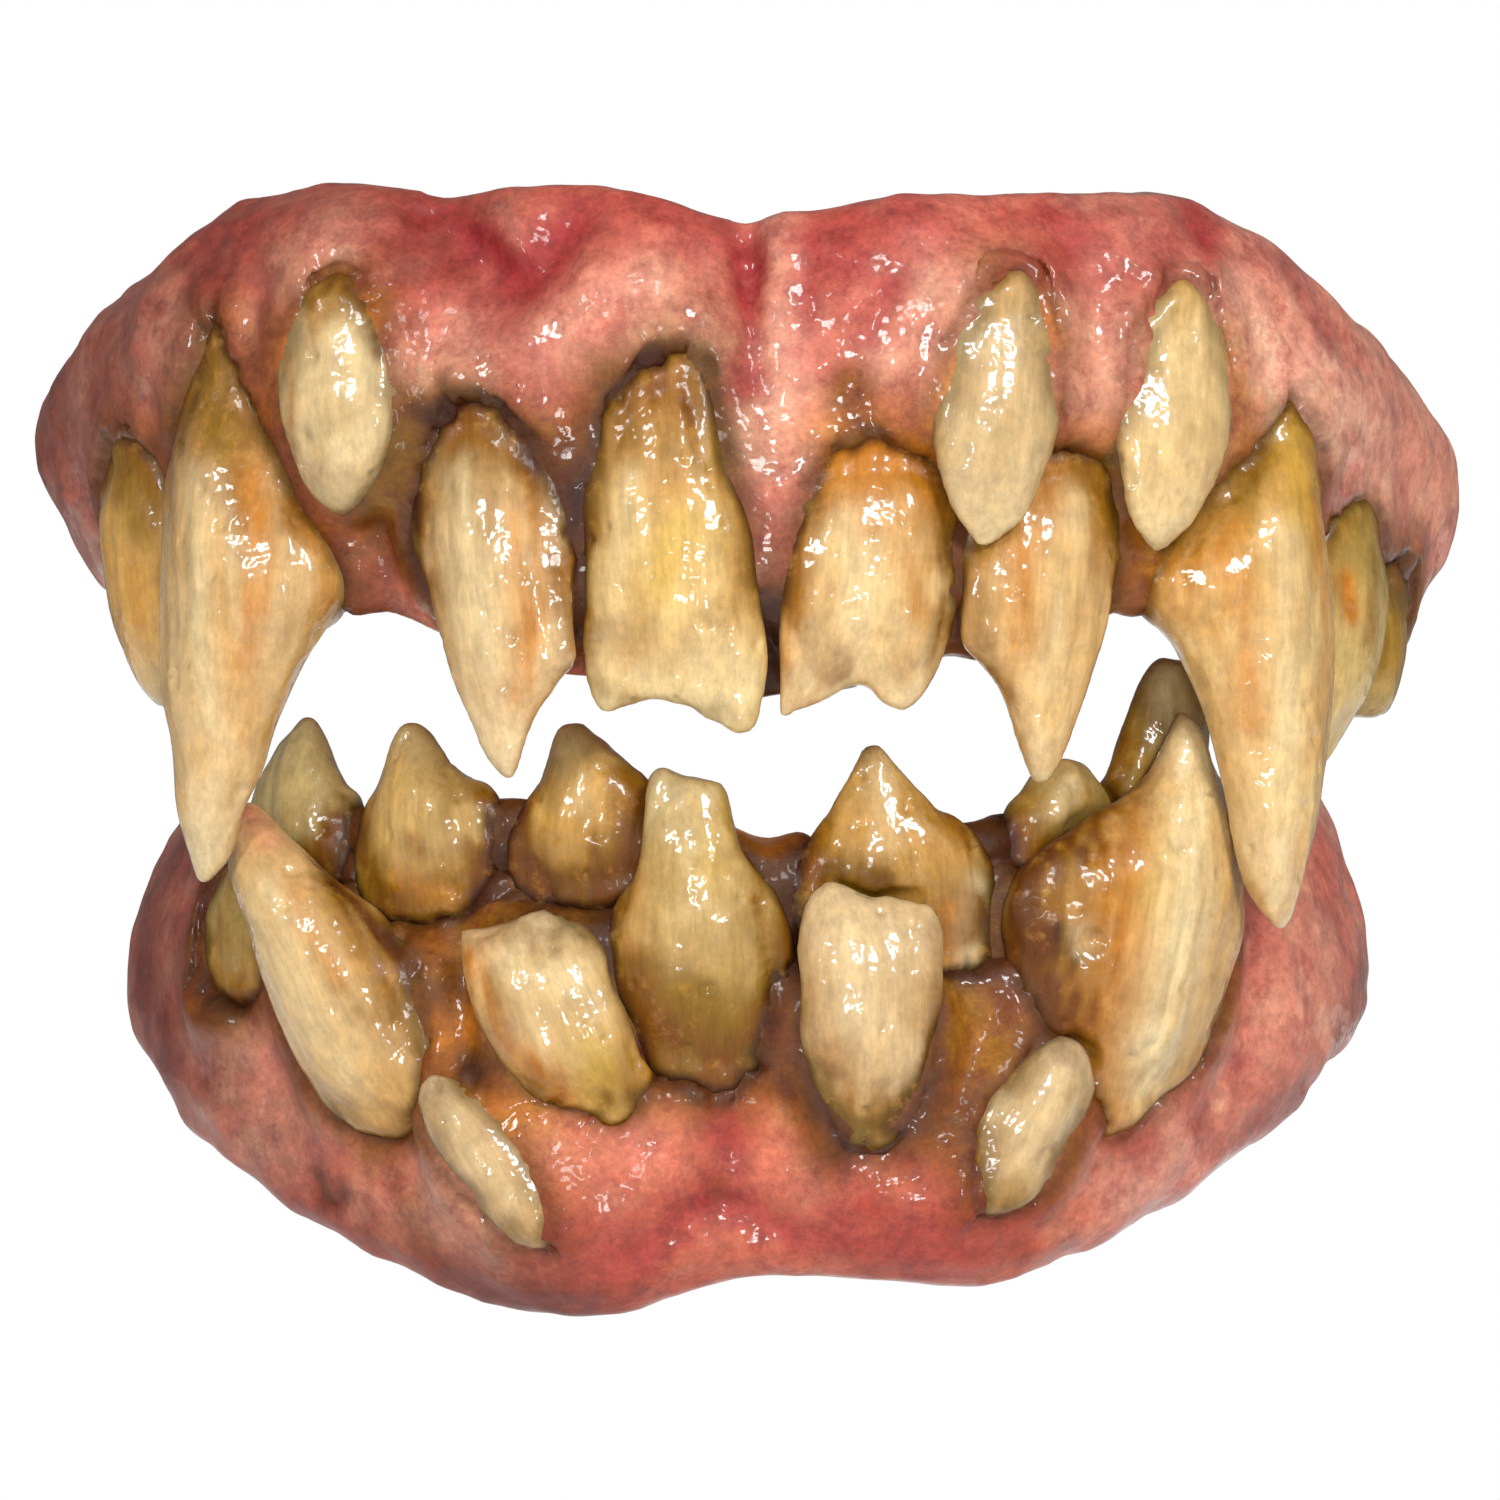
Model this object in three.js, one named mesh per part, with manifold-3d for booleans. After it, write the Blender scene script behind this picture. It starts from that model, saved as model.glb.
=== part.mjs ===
// Costume teeth: an upper and a lower plate, worn over the wearer's own teeth.
// Each plate is a horseshoe of gum with a channel along its back that takes the wearer's teeth,
// and crooked teeth and fangs set in its front, each one a piece of its own in its own socket.
// Millimetres. +X is the viewer's right, the lips are towards -Y, +Z is up.
// The origin is the middle of the open bite, where the wearer's mouth holds the two plates.
import * as THREE from 'three';
import { mergeVertices } from 'three/addons/utils/BufferGeometryUtils.js';
import Module from 'manifold-3d';

const wasm = await Module();
wasm.setup();

const gumFinish = { color: 0xc4686c, roughness: 0.35, metalness: 0 };
const upperToothFinish = { color: 0xd9c08c, roughness: 0.3, metalness: 0 };
const lowerToothFinish = { color: 0xb29a6c, roughness: 0.3, metalness: 0 };

// Sizes that both plates share.
const archSquareness = 2.4; // 2 is a plain ellipse, more is squarer at the corners
const archEndTurn = 88; // degrees round the arch to each end
const archSteps = 36; // sections along a plate
const gumHeight = 20.8; // the upper gum, from the biting face to the rim
const socketGap = 0.4; // between a tooth and its socket, or the tooth in front of it
const channelWidth = 8.5; // room for the wearer's teeth, front to back
const floorThickness = 1.9;
const tongueWall = 1.9; // the low wall behind the wearer's teeth
const tongueWallHeight = 7;
const overjet = 3; // how far the upper teeth lie before the lower ones
const rimInset = 0.8; // how far the front wall's inner face opens at the rim
const leastToothEdge = 0.2; // a tooth's blunt side, as a share of its depth
const backFlatness = 0.8; // how far a tooth's back bulges, as a share of its front's bulge
const toothColumns = 6; // faces across a tooth that names no number of its own
const pitSides = 8;

// The two plates. rimSign is +1 where the gum's rim is up, -1 where it is down.
// bite is the height of the biting face over the origin, gumHeight goes from there to the rim,
// and flesh is how thick the gum is at its fullest. front is how far the wearer's teeth lie
// before the origin.
const upper = {
  rimSign: 1,
  halfWidth: 30,
  depth: 33,
  front: 17,
  bite: gumHeight * 0.36,
  gumHeight,
  flesh: 6,
};
const lower = {
  rimSign: -1,
  halfWidth: upper.halfWidth * 0.88,
  depth: upper.depth * 0.91,
  front: upper.front - overjet,
  bite: gumHeight * 0.336,
  gumHeight: gumHeight * 1.024,
  flesh: 6,
};

// The lip side of a gum section, from the rim to the hem. thick is a share of the flesh,
// level a share of the way from the hem (0) to the rim (1).
const lipSide = [
  { thick: 0.5, level: 1 },
  { thick: 0.78, level: 0.94 },
  { thick: 0.95, level: 0.82 },
  { thick: 1, level: 0.66 },
  { thick: 0.96, level: 0.5 },
  { thick: 0.86, level: 0.35 },
  { thick: 0.74, level: 0.22 },
  { thick: 0.64, level: 0.1 },
  { thick: 0.5, level: 0 },
  { thick: 0.22, level: 0 },
];

// How the gum changes round the arch, a row for each place. turn is in degrees, rim and hem are
// heights over the biting face as shares of gumHeight, thick is a share of the flesh.
upper.forms = [
  { turn: -90, rim: 0.48, hem: 0.08, thick: 0.95 },
  { turn: -78, rim: 0.64, hem: 0.04, thick: 1.32 },
  { turn: -64, rim: 0.82, hem: 0.04, thick: 1.14 },
  { turn: -46, rim: 0.99, hem: 0.04, thick: 1.02 },
  { turn: -36, rim: 1.02, hem: -0.01, thick: 0.94 },
  { turn: -30, rim: 1.01, hem: -0.02, thick: 0.9 },
  { turn: -24, rim: 0.99, hem: -0.08, thick: 0.86 },
  { turn: -12, rim: 1.01, hem: -0.19, thick: 0.9 },
  { turn: -5, rim: 0.97, hem: -0.18, thick: 0.86 },
  { turn: 0, rim: 0.91, hem: -0.24, thick: 0.8 },
  { turn: 5, rim: 0.95, hem: -0.2, thick: 0.86 },
  { turn: 12, rim: 0.98, hem: -0.14, thick: 0.9 },
  { turn: 22, rim: 0.99, hem: -0.1, thick: 0.92 },
  { turn: 31, rim: 0.99, hem: 0.0, thick: 0.92 },
  { turn: 38, rim: 1.0, hem: 0.0, thick: 0.96 },
  { turn: 48, rim: 0.9, hem: -0.01, thick: 1.06 },
  { turn: 60, rim: 0.74, hem: -0.04, thick: 1.12 },
  { turn: 68, rim: 0.64, hem: -0.06, thick: 1.14 },
  { turn: 79, rim: 0.5, hem: -0.13, thick: 1.3 },
  { turn: 90, rim: 0.42, hem: -0.04, thick: 0.95 },
];
lower.forms = [
  { turn: -90, rim: 0.38, hem: -0.08, thick: 0.85 },
  { turn: -76, rim: 0.47, hem: -0.2, thick: 1.16 },
  { turn: -60, rim: 0.66, hem: -0.18, thick: 1.12 },
  { turn: -46, rim: 0.81, hem: -0.18, thick: 0.94 },
  { turn: -38, rim: 0.88, hem: -0.18, thick: 0.86 },
  { turn: -27, rim: 0.96, hem: -0.2, thick: 0.84 },
  { turn: -20, rim: 1.0, hem: -0.2, thick: 0.84 },
  { turn: -12, rim: 1.02, hem: -0.22, thick: 0.86 },
  { turn: -5, rim: 0.96, hem: -0.22, thick: 0.82 },
  { turn: 2, rim: 0.9, hem: -0.1, thick: 0.8 },
  { turn: 9, rim: 0.93, hem: -0.14, thick: 0.84 },
  { turn: 20, rim: 0.95, hem: -0.15, thick: 0.86 },
  { turn: 32, rim: 0.87, hem: -0.2, thick: 0.9 },
  { turn: 42, rim: 0.77, hem: -0.22, thick: 0.98 },
  { turn: 54, rim: 0.64, hem: -0.27, thick: 1.1 },
  { turn: 72, rim: 0.45, hem: -0.28, thick: 1.16 },
  { turn: 90, rim: 0.34, hem: -0.12, thick: 0.85 },
];

// Swellings (out above 0) and hollows (below 0) of the lip side. turn is in degrees and level a
// share of the way from hem to rim; wide, high and out are shares of gumHeight.
upper.swellings = [
  { turn: -10, level: 0.74, wide: 0.2, high: 0.14, out: 0.05 },
  { turn: -22, level: 0.8, wide: 0.1, high: 0.2, out: -0.06 },
  { turn: -34, level: 0.82, wide: 0.22, high: 0.14, out: 0.04 },
  { turn: 0, level: 0.9, wide: 0.09, high: 0.3, out: -0.05 },
  { turn: 12, level: 0.86, wide: 0.18, high: 0.16, out: 0.05 },
  { turn: 32, level: 0.88, wide: 0.2, high: 0.14, out: 0.04 },
  { turn: 50, level: 0.55, wide: 0.16, high: 0.2, out: 0.05 },
  { turn: -55, level: 0.66, wide: 0.12, high: 0.2, out: 0.05 },
];
lower.swellings = [
  { turn: -14, level: 0.86, wide: 0.24, high: 0.14, out: 0.06 },
  { turn: 0, level: 0.72, wide: 0.08, high: 0.22, out: -0.05 },
  { turn: 18, level: 0.84, wide: 0.22, high: 0.14, out: 0.05 },
  { turn: -44, level: 0.7, wide: 0.1, high: 0.2, out: -0.04 },
  { turn: 46, level: 0.6, wide: 0.1, high: 0.24, out: -0.04 },
];

// An outline has a row for each level of a tooth, from its root (down 0) to its tip (down 1).
// left and right are shares of the tooth's width on each side of its axis, as seen from the
// lips, and deep is a share of its depth.
const outline = (...rows) =>
  rows.map(([down, left, right, deep]) => ({ down, left, right, deep }));

// The teeth of each plate, the foremost first. turn is the place round the arch in degrees, neck
// the root's height as a share of gumHeight, seat its distance from the wearer's teeth as a
// share of the flesh. face is how far the tooth turns with the arch, from 0 to 1. lean is the
// tilt to the viewer's right and rake the tilt of the tip towards the lips, in degrees. tall is
// a share of gumHeight, wide one of the plate's halfWidth and deep one of its flesh.
// bow is how far the middle of the tooth's length arches towards the lips, as a share of deep.
// columns is the number of faces across a small tooth or a broken one.
// edge, on teeth with a broken edge, is what is missing at each column, as a share of tall. pit
// is a decayed hole: its place as shares of tall, wide and deep, and its size as one of halfWidth.
upper.teeth = [
  {
    name: 'upper_right_gum_tooth_front', turn: 18.2, neck: 0.79, seat: 0.72, face: 0.9,
    lean: -7, rake: 8, tall: 0.678, wide: 0.193, deep: 0.47, columns: 4, bow: 0.35,
    outline: outline([0, -0.12, 0.12, 0.3], [0.09, -0.23, 0.24, 0.6], [0.24, -0.4, 0.41, 0.9],
      [0.42, -0.5, 0.5, 1], [0.6, -0.45, 0.47, 1], [0.78, -0.3, 0.33, 0.8], [0.91, -0.17, 0.19, 0.6],
      [1, -0.05, 0.05, 0.25]),
  },
  {
    name: 'upper_right_gum_tooth_side', turn: 34.1, neck: 0.77, seat: 0.74, face: 0.85,
    lean: -8, rake: 8, tall: 0.668, wide: 0.193, deep: 0.47, columns: 4, bow: 0.35,
    outline: outline([0, -0.1, 0.1, 0.3], [0.09, -0.26, 0.25, 0.6], [0.24, -0.4, 0.4, 0.9],
      [0.43, -0.46, 0.52, 1], [0.62, -0.47, 0.5, 1], [0.81, -0.32, 0.33, 0.8], [0.94, -0.15, 0.15, 0.6],
      [1, -0.05, 0.05, 0.25]),
  },
  {
    name: 'upper_left_gum_tooth', turn: -31.8, neck: 0.78, seat: 0.74, face: 0.85,
    lean: 1, rake: 7, tall: 0.577, wide: 0.197, deep: 0.47, columns: 4, bow: 0.4,
    outline: outline([0, -0.12, 0.12, 0.3], [0.1, -0.33, 0.3, 0.6], [0.27, -0.45, 0.41, 0.9],
      [0.48, -0.5, 0.5, 1], [0.69, -0.42, 0.46, 1], [0.85, -0.29, 0.33, 0.8], [0.96, -0.14, 0.15, 0.6],
      [1, -0.06, 0.06, 0.25]),
  },
  {
    name: 'upper_left_fang', turn: -46, neck: 0.72, seat: 0.68, face: 0.62,
    lean: -1, rake: 5, tall: 1.413, wide: 0.356, deep: 1.23, bow: 0.1,
    outline: outline([0, -0.04, 0.04, 0.3], [0.09, -0.11, 0.16, 0.6], [0.19, -0.19, 0.29, 0.8],
      [0.29, -0.25, 0.46, 0.94], [0.39, -0.26, 0.62, 1], [0.49, -0.25, 0.72, 1],
      [0.57, -0.24, 0.58, 0.9], [0.68, -0.21, 0.42, 0.75], [0.79, -0.17, 0.3, 0.58],
      [0.9, -0.12, 0.19, 0.4], [0.97, -0.07, 0.11, 0.25], [1, -0.03, 0.04, 0.12]),
  },
  {
    name: 'upper_right_fang', turn: 46.4, neck: 0.54, seat: 0.68, face: 0.62,
    lean: -1, rake: 5, tall: 1.337, wide: 0.363, deep: 1.23, bow: 0.1,
    outline: outline([0, -0.04, 0.04, 0.3], [0.07, -0.14, 0.12, 0.6], [0.15, -0.26, 0.18, 0.8],
      [0.24, -0.46, 0.22, 0.94], [0.33, -0.64, 0.24, 1], [0.4, -0.72, 0.25, 1],
      [0.47, -0.6, 0.25, 0.9], [0.58, -0.44, 0.23, 0.78], [0.7, -0.34, 0.2, 0.62],
      [0.82, -0.27, 0.16, 0.48], [0.93, -0.19, 0.11, 0.32], [1, -0.05, 0.04, 0.12]),
  },
  {
    name: 'upper_left_central_incisor', turn: -4.4, neck: 0.667, seat: 0.5, face: 1,
    lean: 0, rake: 7, tall: 0.942, wide: 0.31, deep: 0.7, bow: 0.25, columns: 8,
    edge: [0.06, 0.014, 0.005, 0.036, 0.025, -0.014, -0.047, -0.03, 0.036],
    outline: outline([0, -0.1, 0.1, 0.3], [0.07, -0.18, 0.14, 0.6], [0.19, -0.31, 0.19, 0.9],
      [0.36, -0.41, 0.3, 1], [0.52, -0.46, 0.42, 1], [0.69, -0.48, 0.48, 0.85], [0.85, -0.49, 0.5, 0.6],
      [0.95, -0.48, 0.5, 0.42], [1, -0.46, 0.49, 0.28]),
  },
  {
    name: 'upper_right_central_incisor', turn: 7.2, neck: 0.41, seat: 0.5, face: 1,
    lean: 0, rake: 7, tall: 0.697, wide: 0.303, deep: 0.7, bow: 0.25, columns: 8,
    edge: [0.01, 0, 0.03, 0.077, 0.118, 0.004, 0.08, 0.21, 0.3],
    outline: outline([0, -0.12, 0.3, 0.3], [0.09, -0.24, 0.42, 0.6], [0.22, -0.35, 0.47, 0.9],
      [0.37, -0.43, 0.48, 1], [0.59, -0.49, 0.5, 0.95], [0.77, -0.5, 0.48, 0.75], [0.92, -0.5, 0.47, 0.5],
      [1, -0.49, 0.46, 0.3]),
  },
  {
    name: 'upper_left_lateral_incisor', turn: -21.1, neck: 0.53, seat: 0.5, face: 1,
    lean: 8, rake: 7, tall: 0.976, wide: 0.293, deep: 0.67, bow: 0.2,
    outline: outline([0, -0.08, 0.08, 0.3], [0.08, -0.19, 0.25, 0.6], [0.21, -0.3, 0.42, 0.9],
      [0.37, -0.39, 0.52, 1], [0.52, -0.36, 0.62, 1], [0.63, -0.31, 0.62, 0.9], [0.73, -0.26, 0.56, 0.8],
      [0.78, -0.23, 0.38, 0.7], [0.87, -0.19, 0.21, 0.55], [0.95, -0.12, 0.12, 0.4], [1, -0.04, 0.04, 0.2]),
  },
  {
    name: 'upper_right_lateral_incisor', turn: 24.1, neck: 0.43, seat: 0.46, face: 1,
    lean: -6, rake: 7, tall: 0.885, wide: 0.293, deep: 0.67, bow: 0.2,
    outline: outline([0, -0.18, 0.22, 0.4], [0.09, -0.36, 0.33, 0.7], [0.26, -0.5, 0.39, 0.95],
      [0.4, -0.6, 0.36, 1], [0.53, -0.62, 0.32, 0.95], [0.64, -0.56, 0.28, 0.85], [0.73, -0.34, 0.24, 0.72],
      [0.84, -0.21, 0.18, 0.58], [0.94, -0.12, 0.12, 0.4], [1, -0.04, 0.04, 0.2]),
  },
  {
    name: 'upper_left_premolar', turn: -59.2, neck: 0.44, seat: 0.78, face: 0.9,
    lean: 3, rake: -3, tall: 0.692, wide: 0.227, deep: 0.77, columns: 4, bow: 0.1,
    outline: outline([0, -0.2, 0.2, 0.4], [0.12, -0.38, 0.38, 0.8], [0.32, -0.5, 0.5, 1],
      [0.58, -0.5, 0.5, 1], [0.78, -0.42, 0.42, 0.85], [0.92, -0.26, 0.28, 0.6], [1, -0.1, 0.12, 0.3]),
  },
  {
    name: 'upper_right_premolar', turn: 57.5, neck: 0.25, seat: 0.78, face: 0.9,
    lean: -5, rake: -3, tall: 0.644, wide: 0.234, deep: 0.7, columns: 4, bow: 0.1,
    outline: outline([0, -0.2, 0.2, 0.4], [0.12, -0.38, 0.4, 0.8], [0.3, -0.5, 0.5, 1],
      [0.5, -0.5, 0.5, 1], [0.72, -0.38, 0.4, 0.8], [0.88, -0.22, 0.24, 0.55], [1, -0.06, 0.08, 0.3]),
  },
  {
    name: 'upper_right_molar', turn: 68.5, neck: 0.17, seat: 0.47, face: 1,
    lean: 0, rake: 3, tall: 0.452, wide: 0.227, deep: 0.73, columns: 4, bow: 0.1,
    outline: outline([0, -0.3, 0.3, 0.5], [0.15, -0.42, 0.42, 0.85], [0.4, -0.5, 0.5, 1],
      [0.7, -0.48, 0.48, 1], [0.9, -0.36, 0.36, 0.8], [1, -0.18, 0.18, 0.5]),
  },
];
lower.teeth = [
  {
    name: 'lower_right_front_incisor', turn: 8.4, neck: 0.6, seat: 0.78, face: 1,
    lean: 0, rake: 3, tall: 0.62, wide: 0.28, deep: 0.57, bow: 0.3, columns: 8,
    edge: [0.08, 0.04, 0, 0.005, 0.06, 0.06, 0.075, 0.09, 0.12],
    outline: outline([0, -0.12, 0.12, 0.3], [0.12, -0.25, 0.28, 0.6], [0.28, -0.38, 0.4, 0.85],
      [0.42, -0.46, 0.44, 1], [0.6, -0.5, 0.47, 1], [0.8, -0.49, 0.5, 0.85], [0.93, -0.48, 0.48, 0.6],
      [1, -0.46, 0.46, 0.35]),
  },
  {
    name: 'lower_left_front_incisor', turn: -9.7, neck: 0.54, seat: 0.78, face: 1,
    lean: -23, rake: 3, tall: 0.535, wide: 0.277, deep: 0.57, bow: 0.3, columns: 8,
    edge: [0.03, -0.02, -0.03, 0.02, 0.03, 0.03, 0.1, 0.16, 0.25],
    outline: outline([0, -0.08, 0.14, 0.3], [0.1, -0.16, 0.3, 0.6], [0.2, -0.34, 0.32, 0.8],
      [0.34, -0.5, 0.33, 1], [0.5, -0.58, 0.35, 1], [0.68, -0.6, 0.36, 0.95], [0.85, -0.58, 0.39, 0.7],
      [1, -0.56, 0.38, 0.35]),
  },
  {
    name: 'lower_left_low_tooth', turn: -15, neck: 0.82, seat: 0.8, face: 1,
    lean: -41, rake: 3, tall: 0.484, wide: 0.125, deep: 0.43, columns: 4, bow: 0.3,
    outline: outline([0, -0.12, 0.12, 0.3], [0.14, -0.38, 0.3, 0.7], [0.32, -0.5, 0.42, 1],
      [0.55, -0.5, 0.5, 1], [0.78, -0.44, 0.48, 0.9], [0.93, -0.28, 0.34, 0.65], [1, -0.1, 0.14, 0.3]),
  },
  {
    name: 'lower_right_low_tooth', turn: 18.2, neck: 0.74, seat: 0.8, face: 1,
    lean: 32, rake: 3, tall: 0.451, wide: 0.152, deep: 0.47, columns: 4, bow: 0.3,
    outline: outline([0, -0.12, 0.14, 0.3], [0.14, -0.34, 0.38, 0.7], [0.34, -0.5, 0.5, 1],
      [0.58, -0.5, 0.5, 1], [0.8, -0.4, 0.42, 0.9], [0.94, -0.22, 0.28, 0.6], [1, -0.08, 0.1, 0.3]),
  },
  {
    name: 'lower_left_tusk', turn: -29.8, neck: 0.565, seat: 0.66, face: 0.9,
    lean: -29, rake: 4, tall: 0.878, wide: 0.28, deep: 0.87, bow: 0.15,
    outline: outline([0, -0.1, 0.16, 0.3], [0.1, -0.36, 0.36, 0.65], [0.25, -0.48, 0.5, 0.9],
      [0.4, -0.5, 0.54, 1], [0.55, -0.46, 0.5, 1], [0.7, -0.4, 0.34, 0.9], [0.84, -0.34, 0.2, 0.7],
      [0.94, -0.22, 0.1, 0.45], [1, -0.08, 0.02, 0.2]),
  },
  {
    name: 'lower_right_tusk', turn: 31, neck: 0.58, seat: 0.62, face: 0.9,
    lean: 13, rake: 3, tall: 1.014, wide: 0.515, deep: 0.97, bow: 0.15,
    pit: { down: 0.43, across: -0.31, forward: 0.6, size: 0.065 },
    outline: outline([0, -0.05, 0.05, 0.3], [0.09, -0.14, 0.17, 0.6], [0.2, -0.3, 0.28, 0.85],
      [0.33, -0.48, 0.36, 1], [0.45, -0.58, 0.39, 1], [0.56, -0.55, 0.39, 1], [0.66, -0.43, 0.36, 0.9],
      [0.77, -0.22, 0.3, 0.72], [0.88, -0.1, 0.2, 0.5], [1, -0.03, 0.03, 0.2]),
  },
  {
    name: 'lower_central_incisor', turn: -2.5, neck: 0.5, seat: 0.46, face: 1,
    lean: -5, rake: 8, tall: 0.793, wide: 0.341, deep: 0.7, bow: 0.2, columns: 8,
    edge: [0.12, 0.05, 0.01, 0.0, 0.03, 0.04, 0.05, 0.1, 0.2],
    outline: outline([0, -0.12, 0.14, 0.3], [0.12, -0.36, 0.34, 0.7], [0.25, -0.47, 0.42, 0.9],
      [0.4, -0.5, 0.5, 1], [0.55, -0.46, 0.52, 1], [0.7, -0.34, 0.44, 0.9], [0.82, -0.26, 0.33, 0.75],
      [0.93, -0.24, 0.3, 0.5], [1, -0.22, 0.28, 0.32]),
  },
  {
    name: 'lower_right_lateral_incisor', turn: 11.4, neck: 0.25, seat: 0.4, face: 1,
    lean: -6, rake: 4, tall: 0.592, wide: 0.394, deep: 0.67, bow: 0.15,
    outline: outline([0, -0.2, 0.5, 0.4], [0.15, -0.4, 0.52, 0.8], [0.35, -0.5, 0.5, 1],
      [0.5, -0.48, 0.48, 1], [0.62, -0.36, 0.4, 0.9], [0.75, -0.24, 0.26, 0.75], [0.88, -0.14, 0.16, 0.5],
      [1, -0.05, 0.05, 0.25]),
  },
  {
    name: 'lower_left_lateral_incisor', turn: -12.4, neck: 0.05, seat: 0.34, face: 1,
    lean: -7, rake: 5, tall: 0.441, wide: 0.273, deep: 0.67, columns: 4, bow: 0.15,
    outline: outline([0, -0.4, 0.4, 0.6], [0.2, -0.5, 0.5, 1], [0.45, -0.48, 0.52, 1],
      [0.62, -0.36, 0.5, 0.95], [0.76, -0.26, 0.38, 0.8], [0.9, -0.17, 0.2, 0.55], [1, -0.07, 0.07, 0.3]),
  },
  {
    name: 'lower_left_premolar', turn: -29.2, neck: 0.08, seat: 0.34, face: 1,
    lean: -8, rake: 5, tall: 0.479, wide: 0.299, deep: 0.7, columns: 4, bow: 0.15,
    outline: outline([0, -0.42, 0.42, 0.6], [0.2, -0.48, 0.5, 1], [0.45, -0.42, 0.54, 1],
      [0.6, -0.34, 0.5, 0.95], [0.74, -0.26, 0.32, 0.8], [0.9, -0.16, 0.2, 0.55], [1, -0.07, 0.07, 0.3]),
  },
  {
    name: 'lower_left_molar', turn: -47.5, neck: 0.08, seat: 0.34, face: 0.9,
    lean: 2, rake: 5, tall: 0.479, wide: 0.295, deep: 0.77, columns: 4, bow: 0.15,
    outline: outline([0, -0.42, 0.42, 0.6], [0.2, -0.5, 0.5, 1], [0.45, -0.46, 0.5, 1],
      [0.65, -0.36, 0.38, 0.9], [0.82, -0.24, 0.22, 0.7], [1, -0.08, 0.06, 0.3]),
  },
  {
    name: 'lower_right_premolar', turn: 28.6, neck: 0.02, seat: 0.3, face: 1,
    lean: 6, rake: 4, tall: 0.329, wide: 0.257, deep: 0.67, columns: 4, bow: 0.15,
    outline: outline([0, -0.42, 0.42, 0.6], [0.25, -0.5, 0.5, 1], [0.55, -0.44, 0.46, 1],
      [0.78, -0.34, 0.34, 0.85], [0.93, -0.22, 0.22, 0.6], [1, -0.1, 0.1, 0.35]),
  },
  {
    name: 'lower_right_back_tooth', turn: 38, neck: 0.02, seat: 0.3, face: 0.9,
    lean: 14, rake: 4, tall: 0.573, wide: 0.235, deep: 0.7, columns: 4, bow: 0.1,
    outline: outline([0, -0.42, 0.42, 0.6], [0.25, -0.5, 0.5, 1], [0.5, -0.46, 0.46, 1],
      [0.75, -0.4, 0.4, 0.85], [0.92, -0.3, 0.3, 0.6], [1, -0.16, 0.16, 0.35]),
  },
  {
    name: 'lower_left_side_tooth', turn: -52, neck: 0.33, seat: 0.62, face: 0.8,
    lean: -4, rake: 2, tall: 0.404, wide: 0.197, deep: 0.6, columns: 4, bow: 0.1,
    outline: outline([0, -0.3, 0.3, 0.5], [0.2, -0.48, 0.48, 0.9], [0.5, -0.5, 0.5, 1],
      [0.8, -0.4, 0.4, 0.8], [1, -0.12, 0.12, 0.35]),
  },
];

const degrees = Math.PI / 180;

// The signed power that squares the arch off.
const squared = (value) => Math.sign(value) * Math.abs(value) ** (2 / archSquareness);

// A place on the line of the wearer's teeth, turn degrees round the arch: the point, the level
// direction towards the lips, and how far that direction has turned from straight ahead.
function archPlace(plate, turn) {
  const across = squared(Math.sin(turn * degrees));
  const ahead = squared(Math.cos(turn * degrees));
  const point = new THREE.Vector3(across * plate.halfWidth, plate.depth * (1 - ahead) - plate.front, 0);
  const out = new THREE.Vector3(
    (Math.sign(across) * Math.abs(across) ** (archSquareness - 1)) / plate.halfWidth,
    -(Math.abs(ahead) ** (archSquareness - 1)) / plate.depth,
    0,
  ).normalize();
  return { point, out, yaw: Math.atan2(out.x, -out.y) };
}

// The gum's form at this turn, eased between the table's rows on each side of it.
function formAt(plate, turn) {
  const after = plate.forms.findIndex((row) => row.turn >= turn);
  const [from, to] = plate.forms.slice(after - 1, after + 1);
  const share = THREE.MathUtils.smoothstep(turn, from.turn, to.turn);
  const ease = (name) => THREE.MathUtils.lerp(from[name], to[name], share);
  return { rim: ease('rim'), hem: ease('hem'), thick: ease('thick') };
}

// How far the plate's swellings move the lip side out at this place, in millimetres.
function swellingAt(plate, turn, level) {
  const aroundPerDegree = (plate.halfWidth * degrees) / plate.gumHeight;
  return plate.swellings.reduce((sum, { turn: at, level: height, wide, high, out }) => {
    const aside = ((turn - at) * aroundPerDegree) / wide;
    const above = (level - height) / high;
    return sum + plate.gumHeight * out * Math.exp(-(aside ** 2) - above ** 2);
  }, 0);
}

// A three.js geometry as a closed solid with its faces pointing out.
function solidOf(geometry) {
  geometry.deleteAttribute('normal');
  geometry.deleteAttribute('uv');
  const merged = mergeVertices(geometry, 1e-4);
  const made = (triVerts) =>
    new wasm.Manifold(
      new wasm.Mesh({ numProp: 3, vertProperties: merged.attributes.position.array, triVerts }),
    );
  const faces = new Uint32Array(merged.index.array);
  const solid = made(faces);
  return solid.volume() > 0 ? solid : made(faces.reverse());
}

// The biggest body of a solid, without the slivers that a cut can leave beside it.
function mainBody(solid) {
  return solid.decompose().reduce((best, body) => (body.volume() > best.volume() ? body : best));
}

// Moves every vertex of a geometry to where place(x, y, z) puts it.
function reshape(geometry, place) {
  const positions = geometry.attributes.position;
  for (let i = 0; i < positions.count; i += 1) {
    const { x, y, z } = place(positions.getX(i), positions.getY(i), positions.getZ(i));
    positions.setXYZ(i, x, y, z);
  }
  return geometry;
}

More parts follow.
